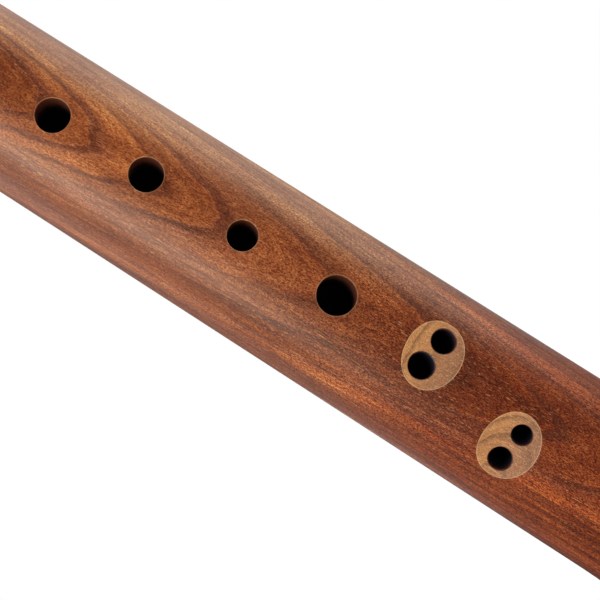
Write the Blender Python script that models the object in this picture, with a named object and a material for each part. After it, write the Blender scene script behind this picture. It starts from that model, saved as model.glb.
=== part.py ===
"""Small clarinet with a one-piece wooden body, recorder fingering, two sprung keys and a single-reed mouthpiece.

The foot face lies on z = 0 and the bore runs up the Z axis. The finger holes face -Y, and the player's right hand
is at -X. Sizes in this file are millimetres until MM turns them into metres.
"""

import math

import bmesh
import bpy
from mathutils import Matrix, Vector

for old in list(bpy.data.objects):
    bpy.data.objects.remove(old, do_unlink=True)

MM = 0.001
GAP = 0.3

# Wooden body
BODY_LENGTH = 258.0
FOOT_RADIUS = 17.4
TOP_RADIUS = 15.4
FLARE_HEIGHT = 32.0
FLARE = 2.2
RIM_ROUND = 1.6
BORE_RADIUS = 7.0
BELL_HEIGHT = 20.0
BELL_FLARE = 2.2
SOCKET_DEPTH = 16.0
SOCKET_RADIUS = 10.5
RING_HEIGHT = 8.0
RING_SEAT_RADIUS = 14.2
BODY_SIDES = 60
RING_SIDES = 40

# Finger holes, numbered down the tube from 1 to 7. A single hole has a height and a radius
SINGLE_HOLES = {1: (187.0, 3.45), 2: (165.35, 3.45), 3: (144.2, 3.45), 4: (122.45, 3.05), 5: (101.2, 3.95)}
# A double hole has its dish's azimuth and height, then each hole's shift across, shift along and radius
DOUBLE_HOLES = {
    6: (1.0, 79.7, ((-2.8, 0.7, 2.6), (3.5, -0.55, 2.4))),
    7: (-23.5, 58.15, ((-3.25, -0.2, 2.3), (3.0, -1.05, 2.0))),
}
DISH_DEPTH = 1.64
DISH_DRUM_RADIUS = 10.15
THUMB_HOLE_Z = 195.0
THUMB_HOLE_RADIUS = 3.5
DRILL_INNER = 3.0
DRILL_OUTER = 24.0

# Keys: each hinge stands over the tube at PIVOT_OUT, with the pad above it and the touch below
KEYS = {"front_key": (0.0, 214.0), "back_key": (180.0, 221.0)}
PIVOT_OUT = 18.4
PAD_REACH = 12.0
PAD_RADIUS = 5.2
PAD_THICKNESS = 2.0
TOUCH_REACH = 14.5
SEAT_OUT = 14.45
SEAT_RADIUS = 6.3
SEAT_RING_RADIUS = 3.8
SEAT_TRENCH = 0.55
KEY_TONE_HOLE_RADIUS = 3.0
HUB_RADIUS = 1.9
HUB_HALF = 3.5
AXLE_RADIUS = 0.75
AXLE_HOLE_RADIUS = 0.95
POST_HALF_SPAN = 6.0
POST_BALL_RADIUS = 2.2
POST_STEM_RADIUS = 1.2
POST_STEM_BOTTOM = 11.5
SPRING_THICKNESS = 0.3
SPRING_SCREW_Y = -4.5

# Mouthpiece, with its flat table and reed on +Y
OVERALL_LENGTH = 318.0
TENON_RADIUS = 9.8
TENON_GROOVE_RADIUS = 9.0
TENON_FOOT_Z = BODY_LENGTH - SOCKET_DEPTH + 1.3
GROOVE_LOW_Z = TENON_FOOT_Z + 1.7
GROOVE_HIGH_Z = BODY_LENGTH - 2.0
SHOULDER_Z = BODY_LENGTH + GAP
SHOULDER_RADIUS = 13.4
MOUTHPIECE_BORE_FOOT_RADIUS = 6.4
MOUTHPIECE_BORE_TOP_RADIUS = 5.9
MOUTHPIECE_BORE_TOP_Z = 286.0
TABLE_FOOT_Z = 262.0
TABLE_FOOT_OUT = 9.2
TABLE_TILT = math.radians(2.0)
LAY_START_Z = 299.0
TIP_OPENING = 0.95
TIP_HALF_WIDTH = 6.15
TIP_ARC_RADIUS = 11.1
WINDOW_LOW_Z = 290.0
WINDOW_HIGH_Z = 312.5
WINDOW_HALF_WIDTH = 4.4
CHAMBER_OUT = 4.6
MOUTHPIECE_SIDES = 36

REED_LENGTH = 55.2
REED_HEEL_HALF_WIDTH = 5.3
REED_THICKNESS = 2.6
REED_BARK_RADIUS = 9.0
REED_VAMP_START = 24.0
REED_TIP_THICKNESS = 0.25

LIGATURE_LOW_Z = 268.0
LIGATURE_HIGH_Z = 287.0
LIGATURE_SEAT_LOW_RADIUS = 12.35
LIGATURE_SEAT_HIGH_RADIUS = 11.35
LIGATURE_THICKNESS = 0.6
SCREW_HEIGHTS = {"ligature_screw_lower": 272.2, "ligature_screw_upper": 282.6}
SCREW_OUT = 15.1
SCREW_RADIUS = 1.0
SCREW_POST_INNER = 2.3
SCREW_POST_OUTER = 5.2

# Right-thumb rest behind holes 4 and 5
THUMB_REST_Z = 112.0
THUMB_REST_HALF_WIDTH = 6.0
THUMB_REST_HALF_HEIGHT = 12.0
THUMB_REST_THICKNESS = 1.3
THUMB_REST_SCREW_Y = 9.0

# Lays an outline's first coordinate along local Y, its second along local Z, and extrudes it along local X
SIDE_ON = Matrix(((0, 0, 1, 0), (1, 0, 0, 0), (0, 1, 0, 0), (0, 0, 0, 1)))
# Turns a piece's own axis from local Z to local X
ALONG_X = Matrix.Rotation(math.radians(90), 4, "Y")


def facing(azimuth, z, out=0.0):
    """Frame on the tube: local Z points outward, local Y up the bore and local X across. Azimuth 0 faces -Y."""
    turn = Matrix.Rotation(math.radians(azimuth), 4, "Z") @ Matrix.Rotation(math.radians(90), 4, "X")
    return Matrix.Translation((0, 0, z * MM)) @ turn @ Matrix.Translation((0, 0, out * MM))


def offset(x=0.0, y=0.0, z=0.0):
    """A shift in millimetres."""
    return Matrix.Translation((x * MM, y * MM, z * MM))


def arc(centre, radius, start, end, steps):
    """Points on an arc in a plane, with its angles in degrees."""
    angles = [math.radians(start + (end - start) * i / steps) for i in range(steps + 1)]
    return [(centre[0] + radius * math.cos(a), centre[1] + radius * math.sin(a)) for a in angles]


def body_radius(z):
    """Outer radius of the wood: a straight taper, with a gentle flare at the foot."""
    taper = FOOT_RADIUS + (TOP_RADIUS - FOOT_RADIUS) * z / BODY_LENGTH
    return taper + FLARE * max(0.0, 1.0 - z / FLARE_HEIGHT) ** 2


def table_out(z):
    """How far the mouthpiece's table stands out from the bore's axis at height z."""
    return TABLE_FOOT_OUT - (z - TABLE_FOOT_Z) * math.tan(TABLE_TILT)


def make_material(name, colour, roughness, metallic=0.0):
    """A plain finish with the piece's own colour."""
    material = bpy.data.materials.new(name)
    material.use_nodes = True
    shader = material.node_tree.nodes["Principled BSDF"]
    shader.inputs["Base Color"].default_value = (*colour, 1.0)
    shader.inputs["Roughness"].default_value = roughness
    shader.inputs["Metallic"].default_value = metallic
    return material


MATERIALS = {
    "wood": make_material("oiled_wood", (0.26, 0.085, 0.035), 0.38),
    "nickel": make_material("nickel_silver", (0.66, 0.62, 0.55), 0.22, 1.0),
    "steel": make_material("steel", (0.48, 0.48, 0.49), 0.3, 1.0),
    "spring": make_material("blued_spring_steel", (0.12, 0.13, 0.17), 0.28, 1.0),
    "ebonite": make_material("black_ebonite", (0.012, 0.012, 0.013), 0.25),
    "cane": make_material("cane", (0.72, 0.5, 0.22), 0.5),
    "cork": make_material("cork", (0.5, 0.31, 0.16), 0.85),
    "leather": make_material("pad_leather", (0.75, 0.66, 0.5), 0.6),
}


def add_piece(name, bm, material, place, parent=None):
    """Makes one named object from a closed mesh."""
    bmesh.ops.recalc_face_normals(bm, faces=bm.faces)
    mesh = bpy.data.meshes.new(name)
    bm.to_mesh(mesh)
    bm.free()
    mesh.shade_smooth()
    mesh.set_sharp_from_angle(angle=math.radians(30))
    piece = bpy.data.objects.new(name, mesh)
    bpy.context.scene.collection.objects.link(piece)
    piece.parent = parent
    piece.matrix_local = place
    if material:
        mesh.materials.append(MATERIALS[material])
    return piece


def turned(name, outline, sides, material=None, place=Matrix(), parent=None):
    """Turns an outline of (radius, height) points about local Z. It is a ring unless it starts and ends on the axis."""
    bm = bmesh.new()
    points = [bm.verts.new((radius * MM, 0, height * MM)) for radius, height in outline]
    edges = [bm.edges.new(pair) for pair in zip(points, points[1:])]
    if outline[0][0] > 0:
        edges.append(bm.edges.new((points[-1], points[0])))
    bmesh.ops.spin(
        bm,
        geom=points + edges,
        cent=(0, 0, 0),
        axis=(0, 0, 1),
        angle=math.tau,
        steps=sides,
        use_merge=True,
    )
    bmesh.ops.remove_doubles(bm, verts=bm.verts, dist=1e-7)
    return add_piece(name, bm, material, place, parent)


def rod(name, radius, low, high, sides, material=None, place=Matrix(), parent=None):
    """A plain round rod along local Z."""
    outline = [(0, low), (radius, low), (radius, high), (0, high)]
    return turned(name, outline, sides, material, place, parent)


def prism(name, outline, low, high, material=None, place=Matrix(), parent=None):
    """Extrudes a flat outline along local Z."""
    bm = bmesh.new()
    face = bm.faces.new([bm.verts.new((x * MM, y * MM, low * MM)) for x, y in outline])
    raised = bmesh.ops.extrude_face_region(bm, geom=[face])["geom"]
    moved = [item for item in raised if isinstance(item, bmesh.types.BMVert)]
    bmesh.ops.translate(bm, verts=moved, vec=(0, 0, (high - low) * MM))
    return add_piece(name, bm, material, place, parent)


def lofted(name, sections, material=None, place=Matrix(), parent=None):
    """Skins a row of closed sections, each a loop of (x, y, z) points, and caps both ends."""
    bm = bmesh.new()
    loops = [[bm.verts.new(Vector(point) * MM) for point in section] for section in sections]
    for near, far in zip(loops, loops[1:]):
        for i, corner in enumerate(near):
            j = (i + 1) % len(near)
            bm.faces.new((corner, near[j], far[j], far[i]))
    bm.faces.new(loops[0])
    bm.faces.new(loops[-1])
    return add_piece(name, bm, material, place, parent)


def combine(piece, tool, operation="DIFFERENCE"):
    """Cuts, joins or trims a piece with a tool shape, which stays as a hidden guide."""
    step = piece.modifiers.new(tool.name, "BOOLEAN")
    step.operation = operation
    step.solver = "EXACT"
    step.object = tool
    tool.hide_render = True
    tool.display_type = "WIRE"


def drill(piece, name, radius, low, high, place, sides=24, parent=None):
    """Drills a round hole along the place's local Z."""
    combine(piece, rod(f"drill_{name}", radius, low, high, sides, place=place, parent=parent))


def chamfered_bar(half_width, low, high, y, chamfer=0.35):
    """One eight-cornered section across a key's arm, at y."""
    inner = half_width - chamfer
    return [
        (-inner, y, low),
        (inner, y, low),
        (half_width, y, low + chamfer),
        (half_width, y, high - chamfer),
        (inner, y, high),
        (-inner, y, high),
        (-half_width, y, high - chamfer),
        (-half_width, y, low + chamfer),
    ]


def make_body():
    """The turned tube with its bore, socket, foot flare and ring seat, before any hole is drilled."""
    rim_radius = body_radius(RIM_ROUND)
    rim = arc((rim_radius - RIM_ROUND, RIM_ROUND), RIM_ROUND, -90, 0, 4)
    flare = [(body_radius(z), z) for z in (5.0, 9.0, 14.0, 19.0, 25.0, FLARE_HEIGHT)]
    ring_foot = BODY_LENGTH - RING_HEIGHT
    socket_foot = BODY_LENGTH - SOCKET_DEPTH
    top = [
        (body_radius(ring_foot), ring_foot),
        (RING_SEAT_RADIUS, ring_foot),
        (RING_SEAT_RADIUS, BODY_LENGTH),
        (SOCKET_RADIUS + 0.6, BODY_LENGTH),
        (SOCKET_RADIUS, BODY_LENGTH - 0.6),
        (SOCKET_RADIUS, socket_foot),
    ]
    bell = [
        (BORE_RADIUS + BELL_FLARE * (1.0 - z / BELL_HEIGHT) ** 2, z)
        for z in (BELL_HEIGHT, 14.0, 9.0, 4.5, 0.0)
    ]
    outline = rim + flare + top + [(BORE_RADIUS, socket_foot)] + bell
    return turned("body", outline, BODY_SIDES, "wood")


def drill_finger_holes(body):
    """The five single front holes, the two dished double holes and the thumb hole."""
    for number, (z, radius) in SINGLE_HOLES.items():
        drill(body, f"hole_{number}", radius, DRILL_INNER, DRILL_OUTER, facing(0, z))
    drill(body, "thumb_hole", THUMB_HOLE_RADIUS, DRILL_INNER, DRILL_OUTER, facing(180, THUMB_HOLE_Z))
    for number, (azimuth, z, pair) in DOUBLE_HOLES.items():
        place = facing(azimuth, z)
        drum_out = body_radius(z) - DISH_DEPTH + DISH_DRUM_RADIUS
        drum_place = place @ offset(z=drum_out) @ ALONG_X
        drill(body, f"dish_{number}", DISH_DRUM_RADIUS, -15, 15, drum_place, sides=60)
        for side, (across, along, radius) in zip(("right", "left"), pair):
            spot = place @ offset(x=across, y=along)
            drill(body, f"hole_{number}_{side}", radius, DRILL_INNER, DRILL_OUTER, spot, sides=20)


def make_socket_ring():
    """The beaded ring let into the top of the wood."""
    foot = BODY_LENGTH - RING_HEIGHT + GAP
    inner = RING_SEAT_RADIUS + GAP
    outline = [
        (inner, foot),
        (15.7, foot),
        (16.05, foot + 0.5),
        (16.05, foot + 1.1),
        (15.7, foot + 1.6),
        (15.7, BODY_LENGTH - 1.8),
        (16.05, BODY_LENGTH - 1.3),
        (16.05, BODY_LENGTH - 0.5),
        (15.6, BODY_LENGTH),
        (inner, BODY_LENGTH),
    ]
    turned("socket_ring", outline, RING_SIDES, "nickel")


def mouthpiece_side_view():
    """Outline of the mouthpiece from the side: beak in front, and lay, table and shank behind."""
    tip_back = table_out(OVERALL_LENGTH) - TIP_OPENING
    lay = []
    for step in range(6):
        z = OVERALL_LENGTH - (OVERALL_LENGTH - LAY_START_Z) * step / 5
        share = (z - LAY_START_Z) / (OVERALL_LENGTH - LAY_START_Z)
        lay.append((table_out(z) - TIP_OPENING * share**2, z))
    beak = [(-17.0, 240.0), (-17.0, 276.5), (-11.3, 287.0), (-5.0, 298.2), (tip_back - 0.9, OVERALL_LENGTH)]
    table_foot = [(TABLE_FOOT_OUT, TABLE_FOOT_Z), (TABLE_FOOT_OUT + 5.0, TABLE_FOOT_Z - 1.2), (17.0, 240.0)]
    return beak + lay + table_foot


def mouthpiece_front_view():
    """Outline of the mouthpiece from the front: hollow cheeks that run up to the rounded tip."""
    cheek = [(16.0, 240.0), (16.0, 280.0), (11.2, 286.0), (9.5, 292.0), (7.9, 300.0), (6.75, 309.0)]
    centre_z = OVERALL_LENGTH - TIP_ARC_RADIUS
    half_angle = math.degrees(math.asin(TIP_HALF_WIDTH / TIP_ARC_RADIUS))
    tip = arc((0.0, centre_z), TIP_ARC_RADIUS, 90 - half_angle, 90 + half_angle, 10)
    return cheek + tip + [(-x, z) for x, z in reversed(cheek)]


def make_mouthpiece():
    """The mouthpiece: a turned blank, trimmed to its side and front views, then bored and opened to its window."""
    blank = [
        (0, TENON_FOOT_Z),
        (TENON_RADIUS - 0.4, TENON_FOOT_Z),
        (TENON_RADIUS, TENON_FOOT_Z + 0.4),
        (TENON_RADIUS, GROOVE_LOW_Z),
        (TENON_GROOVE_RADIUS, GROOVE_LOW_Z),
        (TENON_GROOVE_RADIUS, GROOVE_HIGH_Z),
        (TENON_RADIUS, GROOVE_HIGH_Z),
        (TENON_RADIUS, SHOULDER_Z),
        (SHOULDER_RADIUS - 0.4, SHOULDER_Z),
        (SHOULDER_RADIUS, SHOULDER_Z + 0.4),
        (SHOULDER_RADIUS, SHOULDER_Z + 2.4),
        (SHOULDER_RADIUS - 0.5, SHOULDER_Z + 3.0),
        (LIGATURE_SEAT_LOW_RADIUS, LIGATURE_LOW_Z),
        (LIGATURE_SEAT_HIGH_RADIUS, LIGATURE_HIGH_Z),
        (10.6, OVERALL_LENGTH + 2.0),
        (0, OVERALL_LENGTH + 2.0),
    ]
    piece = turned("mouthpiece", blank, MOUTHPIECE_SIDES, "ebonite")
    combine(piece, prism("trim_side_view", mouthpiece_side_view(), -20, 20, place=SIDE_ON), "INTERSECT")
    front_on = facing(0, 0)
    combine(piece, prism("trim_front_view", mouthpiece_front_view(), -20, 20, place=front_on), "INTERSECT")
    bore = [
        (0, TENON_FOOT_Z - 1.0),
        (MOUTHPIECE_BORE_FOOT_RADIUS, TENON_FOOT_Z - 1.0),
        (MOUTHPIECE_BORE_TOP_RADIUS, MOUTHPIECE_BORE_TOP_Z),
        (4.5, MOUTHPIECE_BORE_TOP_Z + 2.0),
        (0, MOUTHPIECE_BORE_TOP_Z + 2.0),
    ]
    combine(piece, turned("mouthpiece_bore", bore, 28))
    chamber = [
        (-CHAMBER_OUT, 285.0),
        (-CHAMBER_OUT, 287.5),
        (table_out(WINDOW_HIGH_Z) - 1.3, WINDOW_HIGH_Z),
        (14.0, WINDOW_HIGH_Z),
        (14.0, WINDOW_LOW_Z),
        (table_out(WINDOW_LOW_Z) - 0.8, WINDOW_LOW_Z),
        (CHAMBER_OUT, 285.0),
    ]
    half = WINDOW_HALF_WIDTH
    combine(piece, prism("chamber", chamber, -half, half, place=SIDE_ON))


def make_tenon_cork():
    """The cork sleeve in the tenon's groove."""
    low = GROOVE_LOW_Z + GAP
    high = GROOVE_HIGH_Z - GAP
    inner, outer = TENON_GROOVE_RADIUS + GAP, SOCKET_RADIUS - GAP
    outline = [
        (inner, low),
        (outer - 0.3, low),
        (outer, low + 0.5),
        (outer, high - 0.5),
        (outer - 0.3, high),
        (inner, high),
    ]
    turned("tenon_cork", outline, MOUTHPIECE_SIDES, "cork")


def reed_section(y):
    """A section across the reed at a distance y from its heel: flat below, with bark or vamp above."""
    from_tip = max(REED_LENGTH - y, 0.15)
    half = REED_HEEL_HALF_WIDTH + (TIP_HALF_WIDTH - REED_HEEL_HALF_WIDTH) * y / REED_LENGTH
    if from_tip < TIP_ARC_RADIUS:
        half = min(half, math.sqrt(TIP_ARC_RADIUS**2 - (TIP_ARC_RADIUS - from_tip) ** 2))
    slope = min(1.0, (REED_LENGTH - y) / (REED_LENGTH - REED_VAMP_START))
    vamp = REED_TIP_THICKNESS + (REED_THICKNESS - REED_TIP_THICKNESS) * slope**1.25
    top = []
    for step in range(9):
        side = 1.0 - step / 4
        x = half * side
        bark = REED_THICKNESS - REED_BARK_RADIUS + math.sqrt(REED_BARK_RADIUS**2 - x**2)
        top.append((x, y, min(bark, vamp * (1.0 - 0.3 * side**2))))
    return [(-half, y, 0.0), (half, y, 0.0)] + top


def make_reed():
    """The cane reed, lying on the table with its heel just above the table's foot."""
    tip_rows = [REED_LENGTH - from_tip for from_tip in (1.7, 0.9, 0.4, 0.0)]
    stations = [0, 12, REED_VAMP_START - 1, 26, 29, 33, 37, 41, 45, 49, 52] + tip_rows
    table = facing(180, TABLE_FOOT_Z, TABLE_FOOT_OUT) @ Matrix.Rotation(-TABLE_TILT, 4, "X")
    heel = table @ offset(y=GAP, z=GAP)
    lofted("reed", [reed_section(y) for y in stations], "cane", heel)


def ligature_inner(angle, z):
    """Inner radius of the band at an angle from +Y: round on the mouthpiece, and flat across the reed."""
    share = (z - LIGATURE_LOW_Z) / (LIGATURE_HIGH_Z - LIGATURE_LOW_Z)
    around = LIGATURE_SEAT_LOW_RADIUS + (LIGATURE_SEAT_HIGH_RADIUS - LIGATURE_SEAT_LOW_RADIUS) * share + GAP
    across = table_out(z) + GAP + REED_THICKNESS + GAP
    flat_end, round_start = math.radians(25), math.radians(55)
    if angle <= flat_end:
        return across / math.cos(angle)
    blend = min(1.0, (angle - flat_end) / (round_start - flat_end))
    blend = blend * blend * (3.0 - 2.0 * blend)
    return across / math.cos(flat_end) * (1.0 - blend) + around * blend


def ligature_section(turn):
    """A section through the band where it has turned from +Y towards +X and on round the front."""
    angle = min(turn, math.tau - turn)
    section = []
    corners = ((LIGATURE_LOW_Z, 0), (LIGATURE_HIGH_Z, 0), (LIGATURE_HIGH_Z, 1), (LIGATURE_LOW_Z, 1))
    for z, layer in corners:
        radius = ligature_inner(angle, z) + LIGATURE_THICKNESS * layer
        section.append((radius * math.sin(turn), radius * math.cos(turn), z))
    return section


def make_ligature():
    """The split band, with a drilled barrel on each side of its gap for each of the two screws."""
    start = math.atan2(SCREW_POST_INNER, table_out(LIGATURE_LOW_Z) + REED_THICKNESS)
    steps = 40
    turns = [start + (math.tau - 2 * start) * i / steps for i in range(steps + 1)]
    band = lofted("ligature_band", [ligature_section(turn) for turn in turns], "nickel")
    barrel = SCREW_RADIUS + 1.3
    foot_low = table_out(LIGATURE_HIGH_Z) + REED_THICKNESS + 0.75
    for name, z in SCREW_HEIGHTS.items():
        outline = arc((SCREW_OUT, z), barrel, -125, 125, 12)
        outline += [(foot_low, z + 2.1), (foot_low, z - 2.1)]
        for side in (-1, 1):
            low, high = sorted((side * SCREW_POST_INNER, side * SCREW_POST_OUTER))
            post = prism(f"post_{name}_{side}", outline, low, high, place=SIDE_ON)
            combine(band, post, "UNION")
        place = offset(y=SCREW_OUT, z=z) @ ALONG_X
        drill(band, name, SCREW_RADIUS + GAP, -8, 8, place, sides=16)


def make_ligature_screws():
    """Two thumb screws whose heads are at the player's right, each turning about its own axis."""
    head_face = -SCREW_POST_OUTER - GAP
    outline = [
        (0, 6.2),
        (SCREW_RADIUS - 0.3, 6.2),
        (SCREW_RADIUS, 5.9),
        (SCREW_RADIUS, head_face),
        (2.2, head_face),
        (2.2, head_face - 0.8),
        (3.0, head_face - 1.3),
        (3.0, head_face - 5.6),
        (2.5, head_face - 6.3),
        (0, head_face - 6.5),
    ]
    for name, z in SCREW_HEIGHTS.items():
        turned(name, outline, 18, "nickel", offset(y=SCREW_OUT, z=z) @ ALONG_X)


def make_key_lever(name, pivot):
    """Touch, arm, hinge tube and pad cup in one, in the hinge's own frame."""
    arm_stations = [
        (14.6, 1.2, -0.8, 0.3),
        (12.0, 1.7, -0.8, 0.9),
        (7.0, 1.9, -0.5, 1.4),
        (2.6, 2.2, -0.7, 1.9),
        (0.0, 2.3, -0.9, 2.15),
        (-2.4, 2.2, 0.1, 1.95),
        (-6.2, 2.0, 0.1, 1.8),
        (-9.5, 2.2, 0.8, 2.1),
        (-13.0, 2.6, 1.2, 2.3),
    ]
    sections = [chamfered_bar(half, low, high, y) for y, half, low, high in arm_stations]
    lever = lofted(f"{name}_lever", sections, "nickel", parent=pivot)
    touch_layers = ((1.05, 0.92), (1.4, 1.0), (2.05, 1.0), (2.5, 0.8))
    touch = [
        [(4.1 * size * math.cos(a), 5.6 * size * math.sin(a) - TOUCH_REACH, z) for a in ring_angles(20)]
        for z, size in touch_layers
    ]
    cup = [
        (0, 0.1),
        (3.0, 0.0),
        (5.2, -0.4),
        (5.9, -1.0),
        (5.9, -2.35),
        (PAD_RADIUS + GAP, -2.35),
        (PAD_RADIUS + GAP, -1.35),
        (0, -1.35),
    ]
    combine(lever, lofted(f"{name}_touch", touch, parent=pivot), "UNION")
    combine(lever, turned(f"{name}_cup", cup, 24, place=offset(y=PAD_REACH), parent=pivot), "UNION")
    combine(lever, rod(f"{name}_hub", HUB_RADIUS, -HUB_HALF, HUB_HALF, 20, place=ALONG_X, parent=pivot), "UNION")
    drill(lever, f"{name}_hub_bore", AXLE_HOLE_RADIUS, -8, 8, ALONG_X, sides=16, parent=pivot)
    drill(lever, f"{name}_screw_bore", 0.8, -3, 1.35, offset(y=SPRING_SCREW_Y), sides=12, parent=pivot)


def ring_angles(count):
    """Angles of points spread evenly round a circle."""
    return [math.tau * i / count for i in range(count)]


def make_key_soft_parts(name, pivot):
    """The pad in its cup, and the cork bumper under the touch."""
    pad_top = -1.35 - GAP
    pad_foot = pad_top - PAD_THICKNESS
    outline = [(0, pad_foot), (4.8, pad_foot), (PAD_RADIUS, pad_foot + 0.5), (PAD_RADIUS, pad_top), (0, pad_top)]
    turned(f"{name}_pad", outline, 20, "leather", offset(y=PAD_REACH), pivot)
    rod(f"{name}_bumper", 1.6, -0.25, 0.75, 16, "cork", offset(y=-17.0), pivot)


def make_key_spring(name, pivot):
    """The leaf spring, screwed under the arm, with its free end bearing on the wood below the touch."""
    line = [(-2.7, -0.35), (-6.0, -0.35), (-7.2, -0.6), (-8.8, -1.2), (-10.6, -1.8), (-12.2, -2.02), (-13.6, -1.75)]
    half = SPRING_THICKNESS / 2
    sections = []
    for y, z in line:
        width = 1.3 - 0.25 * (-y - 2.7) / 10.9
        sections.append([(-width, y, z - half), (width, y, z - half), (width, y, z + half), (-width, y, z + half)])
    spring = lofted(f"{name}_spring", sections, "spring", parent=pivot)
    drill(spring, f"{name}_spring_hole", 0.8, -2, 1, offset(y=SPRING_SCREW_Y), sides=12, parent=pivot)
    screw = [(0, -1.4), (0.9, -1.4), (1.2, -1.2), (1.2, -0.8), (0.5, -0.8), (0.5, 1.0), (0, 1.0)]
    turned(f"{name}_spring_screw", screw, 14, "steel", offset(y=SPRING_SCREW_Y), pivot)


def make_key_posts(name, azimuth, z, body, pivot_place):
    """Two ball-headed posts, screwed square into the wood on each side of the hinge."""
    lean = math.degrees(math.atan2(POST_HALF_SPAN, PIVOT_OUT))
    ball_out = math.hypot(POST_HALF_SPAN, PIVOT_OUT)
    seat = body_radius(z) - 0.25
    neck = 1.3
    neck_angle = math.degrees(math.asin(neck / POST_BALL_RADIUS))
    collar = seat + GAP
    ball = arc((0.0, ball_out), POST_BALL_RADIUS, -90 + neck_angle, 90, 5)
    outline = [
        (0, POST_STEM_BOTTOM),
        (POST_STEM_RADIUS, POST_STEM_BOTTOM),
        (POST_STEM_RADIUS, collar),
        (2.3, collar),
        (2.3, collar + 0.6),
        (neck, collar + 1.1),
    ] + ball[:-1] + [(0, ball_out + POST_BALL_RADIUS)]
    for side, word in ((-1, "left"), (1, "right")):
        place = facing(azimuth + side * lean, z)
        post = turned(f"{name}_post_{word}", outline, 14, "nickel", place)
        drill(post, f"{name}_{word}_axle", AXLE_HOLE_RADIUS, -12, 12, pivot_place @ ALONG_X, sides=14)
        drill(body, f"{name}_{word}_spot_face", 2.75, seat, 24, place, sides=16)
        drill(body, f"{name}_{word}_stem", POST_STEM_RADIUS + GAP, POST_STEM_BOTTOM - GAP, 24, place, sides=12)


def make_key(name, azimuth, z, body):
    """One sprung key, with its tone hole and pad seat in the wood."""
    pivot_place = facing(azimuth, z, PIVOT_OUT)
    pivot = bpy.data.objects.new(f"{name}_hinge", None)
    pivot.matrix_world = pivot_place
    pivot.empty_display_size = 5 * MM
    bpy.context.scene.collection.objects.link(pivot)
    make_key_lever(name, pivot)
    make_key_soft_parts(name, pivot)
    make_key_spring(name, pivot)
    make_key_posts(name, azimuth, z, body, pivot_place)
    head = POST_HALF_SPAN + POST_BALL_RADIUS + GAP
    axle = [(0, -8.0), (AXLE_RADIUS, -8.0), (AXLE_RADIUS, head), (1.3, head), (1.3, head + 0.7), (0, head + 0.9)]
    turned(f"{name}_axle", axle, 14, "steel", pivot_place @ ALONG_X)
    pad_place = facing(azimuth, z + PAD_REACH)
    seat = [
        (0, SEAT_OUT),
        (SEAT_RING_RADIUS, SEAT_OUT),
        (SEAT_RING_RADIUS + 0.6, SEAT_OUT - SEAT_TRENCH),
        (SEAT_RADIUS, SEAT_OUT - SEAT_TRENCH),
        (SEAT_RADIUS, 24),
        (0, 24),
    ]
    combine(body, turned(f"{name}_pad_seat", seat, 28, place=pad_place))
    drill(body, f"{name}_tone_hole", KEY_TONE_HOLE_RADIUS, 3.0, 24, pad_place)


def rounded_rectangle(half_width, half_height, corner):
    """A rectangle with round corners, centred on the outline's origin."""
    outline = []
    for quarter, (sx, sy) in enumerate(((1, 1), (-1, 1), (-1, -1), (1, -1))):
        centre = (sx * (half_width - corner), sy * (half_height - corner))
        outline += arc(centre, corner, 90 * quarter, 90 * quarter + 90, 5)
    return outline


def make_thumb_rest(body):
    """A plate bent to the tube, with a rounded shelf for the right thumb, and its two screws."""
    place = facing(180, THUMB_REST_Z)
    low, high = THUMB_REST_Z - 14.0, THUMB_REST_Z + 14.0
    skin = [
        (body_radius(low) + GAP, low),
        (body_radius(low) + GAP + THUMB_REST_THICKNESS, low),
        (body_radius(high) + GAP + THUMB_REST_THICKNESS, high),
        (body_radius(high) + GAP, high),
    ]
    rest = turned("thumb_rest", skin, BODY_SIDES, "nickel")
    plan = rounded_rectangle(THUMB_REST_HALF_WIDTH, THUMB_REST_HALF_HEIGHT, 4.0)
    combine(rest, prism("thumb_rest_plan", plan, 5, 30, place=place), "INTERSECT")
    shelf = [(-5.0, 17.4), (-3.2, 18.5), (-1.9, 20.2), (-1.3, 22.3)]
    shelf += arc((-0.4, 22.3), 0.9, 180, 0, 6)[1:]
    shelf += [(0.9, 20.2), (2.2, 18.5), (4.5, 17.4)]
    combine(rest, prism("thumb_rest_shelf", shelf, -5.5, 5.5, place=place @ SIDE_ON), "UNION")
    head_foot = body_radius(THUMB_REST_Z) + THUMB_REST_THICKNESS + 2 * GAP + 0.1
    screw = [
        (0, 12.0),
        (1.0, 12.0),
        (1.0, head_foot),
        (2.1, head_foot),
        (2.1, head_foot + 0.4),
        (1.4, head_foot + 0.9),
        (0, head_foot + 1.0),
    ]
    for side, word in ((-1, "lower"), (1, "upper")):
        spot = place @ offset(y=side * THUMB_REST_SCREW_Y)
        drill(rest, f"thumb_rest_hole_{word}", 1.3, 5, 30, spot, sides=14)
        drill(body, f"thumb_rest_pilot_{word}", 1.3, 11.7, 30, spot, sides=12)
        turned(f"thumb_rest_screw_{word}", screw, 16, "steel", spot)


body = make_body()
drill_finger_holes(body)
make_socket_ring()
make_mouthpiece()
make_tenon_cork()
make_reed()
make_ligature()
make_ligature_screws()
for key_name, (key_azimuth, key_z) in KEYS.items():
    make_key(key_name, key_azimuth, key_z, body)
make_thumb_rest(body)
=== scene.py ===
import math

import bmesh
import bpy
import numpy as np
from mathutils import Matrix, Vector


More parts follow.
